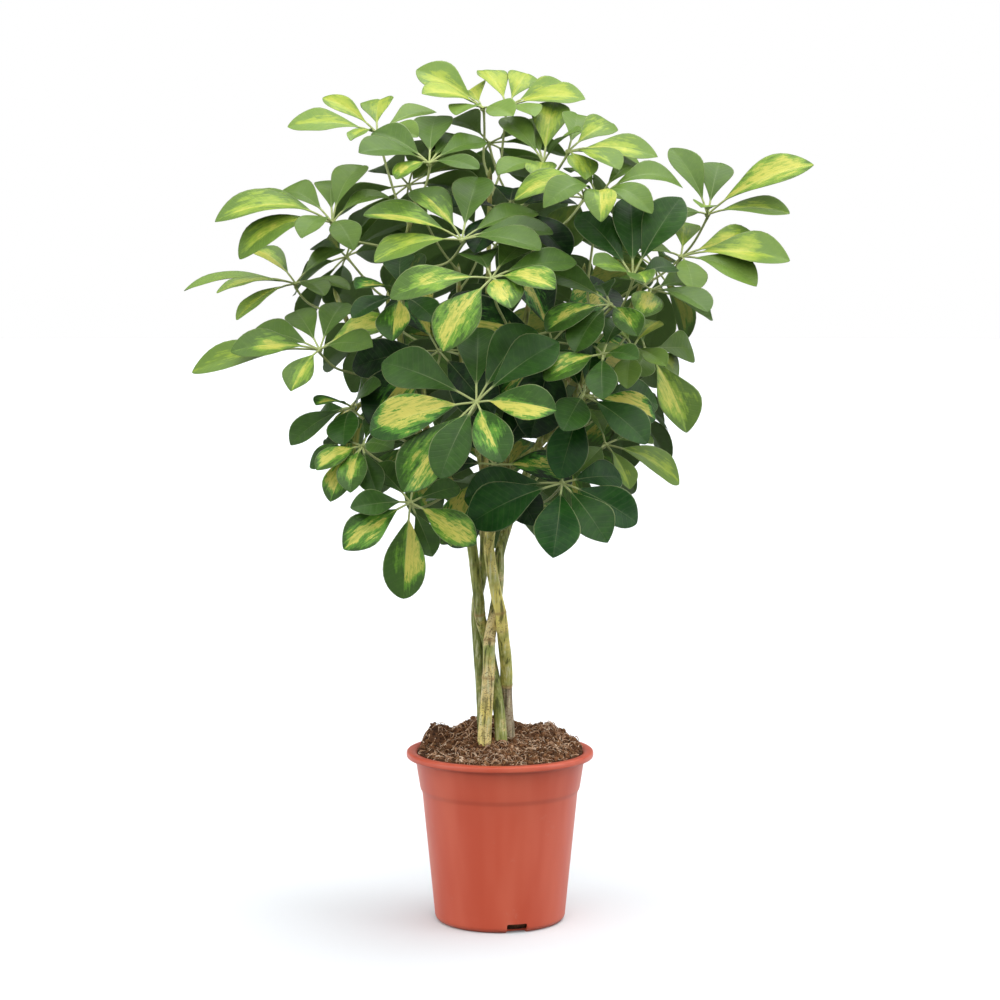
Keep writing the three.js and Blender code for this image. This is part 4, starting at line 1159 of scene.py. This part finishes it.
@dataclass
class Crown:
    """The leaves, each a stalk, a knuckle and a whorl of leaflets."""
    reader: LeafReader = field(default_factory=LeafReader)
    columns: int = 20  # points round a leaflet
    stations: tuple[float, ...] = (0, 0.02, 0.05, 0.09, 0.14, 0.2, 0.27, 0.34, 0.42, 0.5, 0.58, 0.66, 0.74, 0.81, 0.87,
                                   0.915, 0.95, 0.975, 0.99)
    stem_stations: tuple[float, ...] = (0.02, 0.06, 0.1, 0.14)
    fold: float = 0.23
    fuller: float = 1.14
    narrow: float = 0.66
    thick: float = 0.5
    leaflet_stalk: float = 1.15  # radius
    groove: tuple[float, float] = (0.35, 1.3)  # depth and half width of the midrib's groove on top
    keel: tuple[float, float, float] = (1.2, 0.2, 0.9)  # height at the base and tip and half width of the rib below
    stalk_radius: float = 1.35
    knuckle: tuple[tuple[float, float], ...] = (
        (-3.2, 1.5), (-2.2, 2.5), (-0.8, 3.2), (0.6, 3.2), (1.6, 2.4), (2.3, 1.3))  # heights and radii
    knuckle_ends: tuple[float, float] = (-3.6, 2.6)
    no_gold: float = -9.0
    hidden_looks: tuple[int, ...] = (62, 22, 6, 10)  # how often a leaflet that isn't shown is g, m, y or h
    seed: int = 5

    def gold(self, spread: float, fade: float, s: float, v: float) -> float:
        """Finds how far inside the gold patch a place on a blade is.

        Args:
            spread: The share of the blade's half width that the gold takes.
            fade: The share of the length at which it ends.
            s: Share along the blade.
            v: Place across it, from -1 to 1.

        Returns:
            Above 0 inside the patch, and below 0 outside.
        """
        if not spread:
            return self.no_gold
        return spread * (1.3 * (1 - smooth(fade - 0.12, fade + 0.28, s)) - 0.35) - 0.42 - 0.75 * abs(v)

    def leaflet(self, draft: Draft, plan: LeafPlan, leaflet: Leaflet, marbling: Marbling, slim: float, young: float,
                chance: random.Random, cell: Cell) -> None:
        """Adds one leaflet: a round stalk that opens into a folded, lightly waved blade with a closed margin.

        Args:
            draft: The mesh it goes into.
            plan: Its leaf.
            leaflet: Itself.
            marbling: How far its yellow spreads.
            slim: Its width as a share of its solid's.
            young: How young it looks, and below 0 a painted shade.
            chance: For its chances.
            cell: Its part of the bake map.
        """
        length = leaflet.tip.length
        up, left = leaflet.up, leaflet.up.cross(leaflet.tip.normalized())
        start = self.reader.blade_start
        fold = self.fold * chance.uniform(0.75, 1.25)
        wave, waves, phase = chance.uniform(0.3, 1.1), chance.uniform(1.4, 2.8), chance.uniform(0, 6.3)
        sickle, crooked = chance.uniform(-0.012, 0.012) * length, chance.uniform(0, 6.3)
        own = chance.random()
        blunt = chance.uniform(0.58, 0.78) + 0.08 * young
        spread = marbling.spread * chance.uniform(0.8, 1.15)
        side = chance.choice((-1, 1)) * (1.0 if marbling is Marbling.HALF else chance.uniform(0.1, 0.6))
        age = min(1.25, young + marbling.youth + chance.uniform(-0.06, 0.06))
        span = length * (1 - start) * MM
        gold = partial(self.gold, spread, 0.62 + 0.35 * own)

        places = [(cos(t), sin(t)) for t in turns(self.columns)]
        across = [copysign(abs(x) ** 1.6, x) for x, _ in places]  # closer together near the margins
        spots = [0.25 - 0.24 * v if y >= -1e-6 else 0.75 + 0.24 * v for (_, y), v in zip(places, across)] + [0.99]
        rings = []
        for share, s in [(p, None) for p in self.stem_stations] + [(start + (1 - start) * s, s) for s in self.stations]:
            middle = plan.hub + leaflet.tip * share + up * (4 * leaflet.arch * length * share * (1 - share))
            on_blade = 0.0 if s is None else smooth(0, 0.07, s)
            s = s or 0.0
            wide = max(1.1, leaflet.half * slim * self.fuller * sin(pi * s ** 1.6) ** blunt)
            wide *= 1 + 0.025 * sin(9 * s + crooked)
            middle = middle + left * (sickle * sin(pi * s))
            ring = []
            for (x, y), v in zip(places, across):
                waved = sin(2 * pi * waves * s + phase + (2 if v < 0 else 0)) * s
                lift = fold * wide * abs(v) ** 1.25 + wave * abs(v) ** 2 * waved
                if abs(y) >= 1e-6:  # the margin itself has no thickness
                    lift += copysign(self.thick / 2 * sqrt(max(0.0, 1 - abs(v) ** 6)), y)
                if y >= 0:
                    deep, half = self.groove
                    lift -= deep * exp(-(v * wide / half) ** 2)
                else:
                    base, tip, half = self.keel
                    lift -= (base * (1 - s) + tip) * exp(-(v * wide / half) ** 2)
                flat = left * (wide * v) + up * lift
                ring.append(draft.put(
                    middle + ((left * x + up * y) * self.leaflet_stalk).lerp(flat, on_blade), BLADE=(s, v, on_blade),
                    SPOT=(s * span, v * wide * MM, own), GROWTH=(gold(s, v), side, age)))
            rings.append(ring)
        base = draft.put(plan.hub, BLADE=(0, 0, 0), SPOT=(0, 0, own), GROWTH=(self.no_gold, 0, age))
        tip = draft.put(plan.hub + leaflet.tip, BLADE=(1, 0, 1), SPOT=(span, 0, own), GROWTH=(gold(1, 0), side, age))
        draft.loft(rings, cell, (base, tip), spots)

    def stalk(self, draft: Draft, plan: LeafPlan, young: float, cell: Cell) -> None:
        """Adds the leaf stalk, which widens where it sits on the stem, and the knuckle on its end.

        Args:
            draft: The mesh they go into.
            plan: The leaf.
            young: How young it looks, and below 0 a painted shade.
            cell: Their part of the bake map.
        """
        marks = {"BLADE": (0.0, 0.0, 0.0), "SPOT": (0.0, 0.0, 0.5), "GROWTH": (self.no_gold, 0.0, young)}
        line = [plan.stalk[0] - plan.out * 1.6] + [spline(plan.stalk, i / 24) for i in range(25)]
        run = [0.0]
        for a, b in zip(line, line[1:]):
            run.append(run[-1] + (b - a).length)
        radii = [self.stalk_radius + 1.0 * exp(-(d / 5) ** 2) + 0.5 * exp(-((run[-1] - d) / 6) ** 2) for d in run]
        left, bottom, width, height = cell
        draft.tube(line, radii, 10, (left, bottom, width * 0.6, height), [marks] * len(line))
        side = plan.face.orthogonal().normalized()
        other = plan.face.cross(side)
        rings = [draft.ring(plan.hub + plan.face * h, side * r, other * r, 12, **marks) for h, r in self.knuckle]
        ends = tuple(draft.put(plan.hub + plan.face * h, **marks) for h in self.knuckle_ends)
        draft.loft(rings, (left + width * 0.65, bottom, width * 0.35, height), ends)

    def looks(self, name: str, plan: LeafPlan, chance: random.Random) -> tuple[list[tuple[Marbling, float]], float]:
        """Gives a leaf's colouring.

        Args:
            name: Its CAD node.
            plan: Its plan.
            chance: For the leaves that the front doesn't show.

        Returns:
            Each leaflet's marbling and slimness, and how young the leaf looks, below 0 a painted shade.
        """
        letters, young = LEAF_LOOKS.get(name.removeprefix("leaf_"), (None, None))
        if letters is None:
            letters = "".join(chance.choices("gmyh", self.hidden_looks, k=len(plan.leaflets)))
            # Painted shade: the inner leaves and the low ones that the front doesn't show go below 0, darker than old.
            young = -0.8 if "inner" in name else 0.6 if plan.hub.z > 800 else 0.1 if plan.hub.z > 640 else -0.5
        letters = [letters[i % len(letters)] for i in range(len(plan.leaflets))]
        return [(Marbling(letter.lower()), self.narrow if letter.isupper() else 1.0) for letter in letters], young

    def build(self) -> None:
        """Makes every leaf as one piece."""
        material = WaxyLeaf().material()
        for number, name in enumerate(sorted(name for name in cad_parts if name.startswith("leaf_"))):
            chance = random.Random(self.seed * 1000 + number)
            plan = self.reader.read(name)
            looks, young = self.looks(name, plan, chance)
            draft = Draft()
            *blades, last = cells(len(plan.leaflets) + 1, 0.02)
            self.stalk(draft, plan, young, last)
            for leaflet, (marbling, slim), cell in zip(plan.leaflets, looks, blades):
                self.leaflet(draft, plan, leaflet, marbling, slim, young, chance, cell)
            place_piece(draft.build(name.replace("leaf_", "foliage_"), material), "leaf", name)


# ---------------------------------------------------------------- studio
@dataclass(frozen=True)
class Lamp:
    """A large soft light so far off that it falls evenly on the paper."""
    name: str
    way: Row  # the way it comes from
    strength: float  # watts for each square metre
    soft: float  # how wide it looks from the plant, in degrees

    def build(self) -> None:
        """Hangs it up."""
        data = bpy.data.lights.new(self.name, "SUN")
        data.energy, data.angle = self.strength, radians(self.soft)
        thing = bpy.data.objects.new(self.name, data)
        thing.rotation_euler = (-Vector(self.way)).to_track_quat("-Z", "Y").to_euler()
        bpy.context.scene.collection.objects.link(thing)


@dataclass
class Studio:
    """White paper, a white room and soft lights, with the camera where the photograph was taken."""
    eye: Row = (0.0, -2.6, 0.68)
    pitch: float = 4.55
    lens: float = 84.24
    film: float = 36.0
    floor_radius: float = 60.0
    ceiling: float = 0.08  # how bright the room is above
    front: float = 0.22  # and behind the camera
    ground: float = 0.08
    paper_top: float = 0.34  # sine of the angle up to which white paper hangs behind the plant
    lamps: tuple[Lamp, ...] = (
        Lamp("key_lamp", (0.42, 0.06, 1.0), 2.55, 78), Lamp("top_lamp", (-0.25, 0.05, 1.0), 1.45, 80),
        Lamp("right_lamp", (1.0, -0.35, 0.12), 1.5, 40), Lamp("left_lamp", (-1.0, -0.45, 0.12), 1.7, 40),
        Lamp("front_lamp", (-0.15, -1.0, 0.8), 1.3, 56))

    def camera(self) -> None:
        """Sets up the camera."""
        data = bpy.data.cameras.new("camera")
        data.lens, data.sensor_width = self.lens, self.film
        thing = bpy.data.objects.new("camera", data)
        thing.location = self.eye
        thing.rotation_euler = (radians(90 - self.pitch), 0, 0)
        bpy.context.scene.collection.objects.link(thing)
        bpy.context.scene.camera = thing

    def floor(self) -> None:
        """Lays the paper."""
        mesh = bpy.data.meshes.new("floor_paper")
        mesh.from_pydata([(self.floor_radius * cos(t), self.floor_radius * sin(t), 0) for t in turns(64)], [],
                         [tuple(range(64))])
        mesh.materials.append(StudioPaper().material())
        thing = bpy.data.objects.new("floor_paper", mesh)
        thing.visible_diffuse = False
        bpy.context.scene.collection.objects.link(thing)

    def room(self) -> None:
        """Makes the white room."""
        world = bpy.data.worlds.new("white_room")
        world.use_nodes = True
        world.node_tree.nodes.clear()
        add = partial(wire, world.node_tree)
        _, depth, rise = add("SeparateXYZ", add("TexCoord", out="Generated")).node.outputs
        behind, paper, below = (
            add("MapRange", value, start, end, least,
                **EASED)
            for value, start, end, least in (
                (depth, -0.35, 0.3, 0.0), (rise, self.paper_top, self.paper_top - 0.3, 0.0),
                (rise, -0.12, -0.04, self.ground)))
        level = add("Math.MULTIPLY_ADD", behind, 1 - self.front, self.front)
        walls = add("MapRange", rise, 0.13, 0.3, level, self.ceiling, **EASED)
        paper = add("Math.MULTIPLY", behind, paper)
        walls = add("Math.MINIMUM", add("Math.MAXIMUM", walls, paper), below)
        add("OutputWorld", add("Background", {"Color": linear("#ffffff"), "Strength": walls}))
        bpy.context.scene.world = world

    def build(self) -> None:
        """Sets up the whole studio."""
        bpy.context.scene.view_settings.view_transform = "Standard"
        self.camera()
        self.floor()
        self.room()
        for lamp in self.lamps:
            lamp.build()


def main() -> None:
    """Builds the plant, the pot and the studio."""
    logging.basicConfig(level=logging.INFO, format="%(name)s: %(message)s")
    for part in (Studio(), Pot(), Soil(), Trunk(), Crown()):
        part.build()
        log.info("%s done", type(part).__name__)


if __name__ == "__main__":
    main()
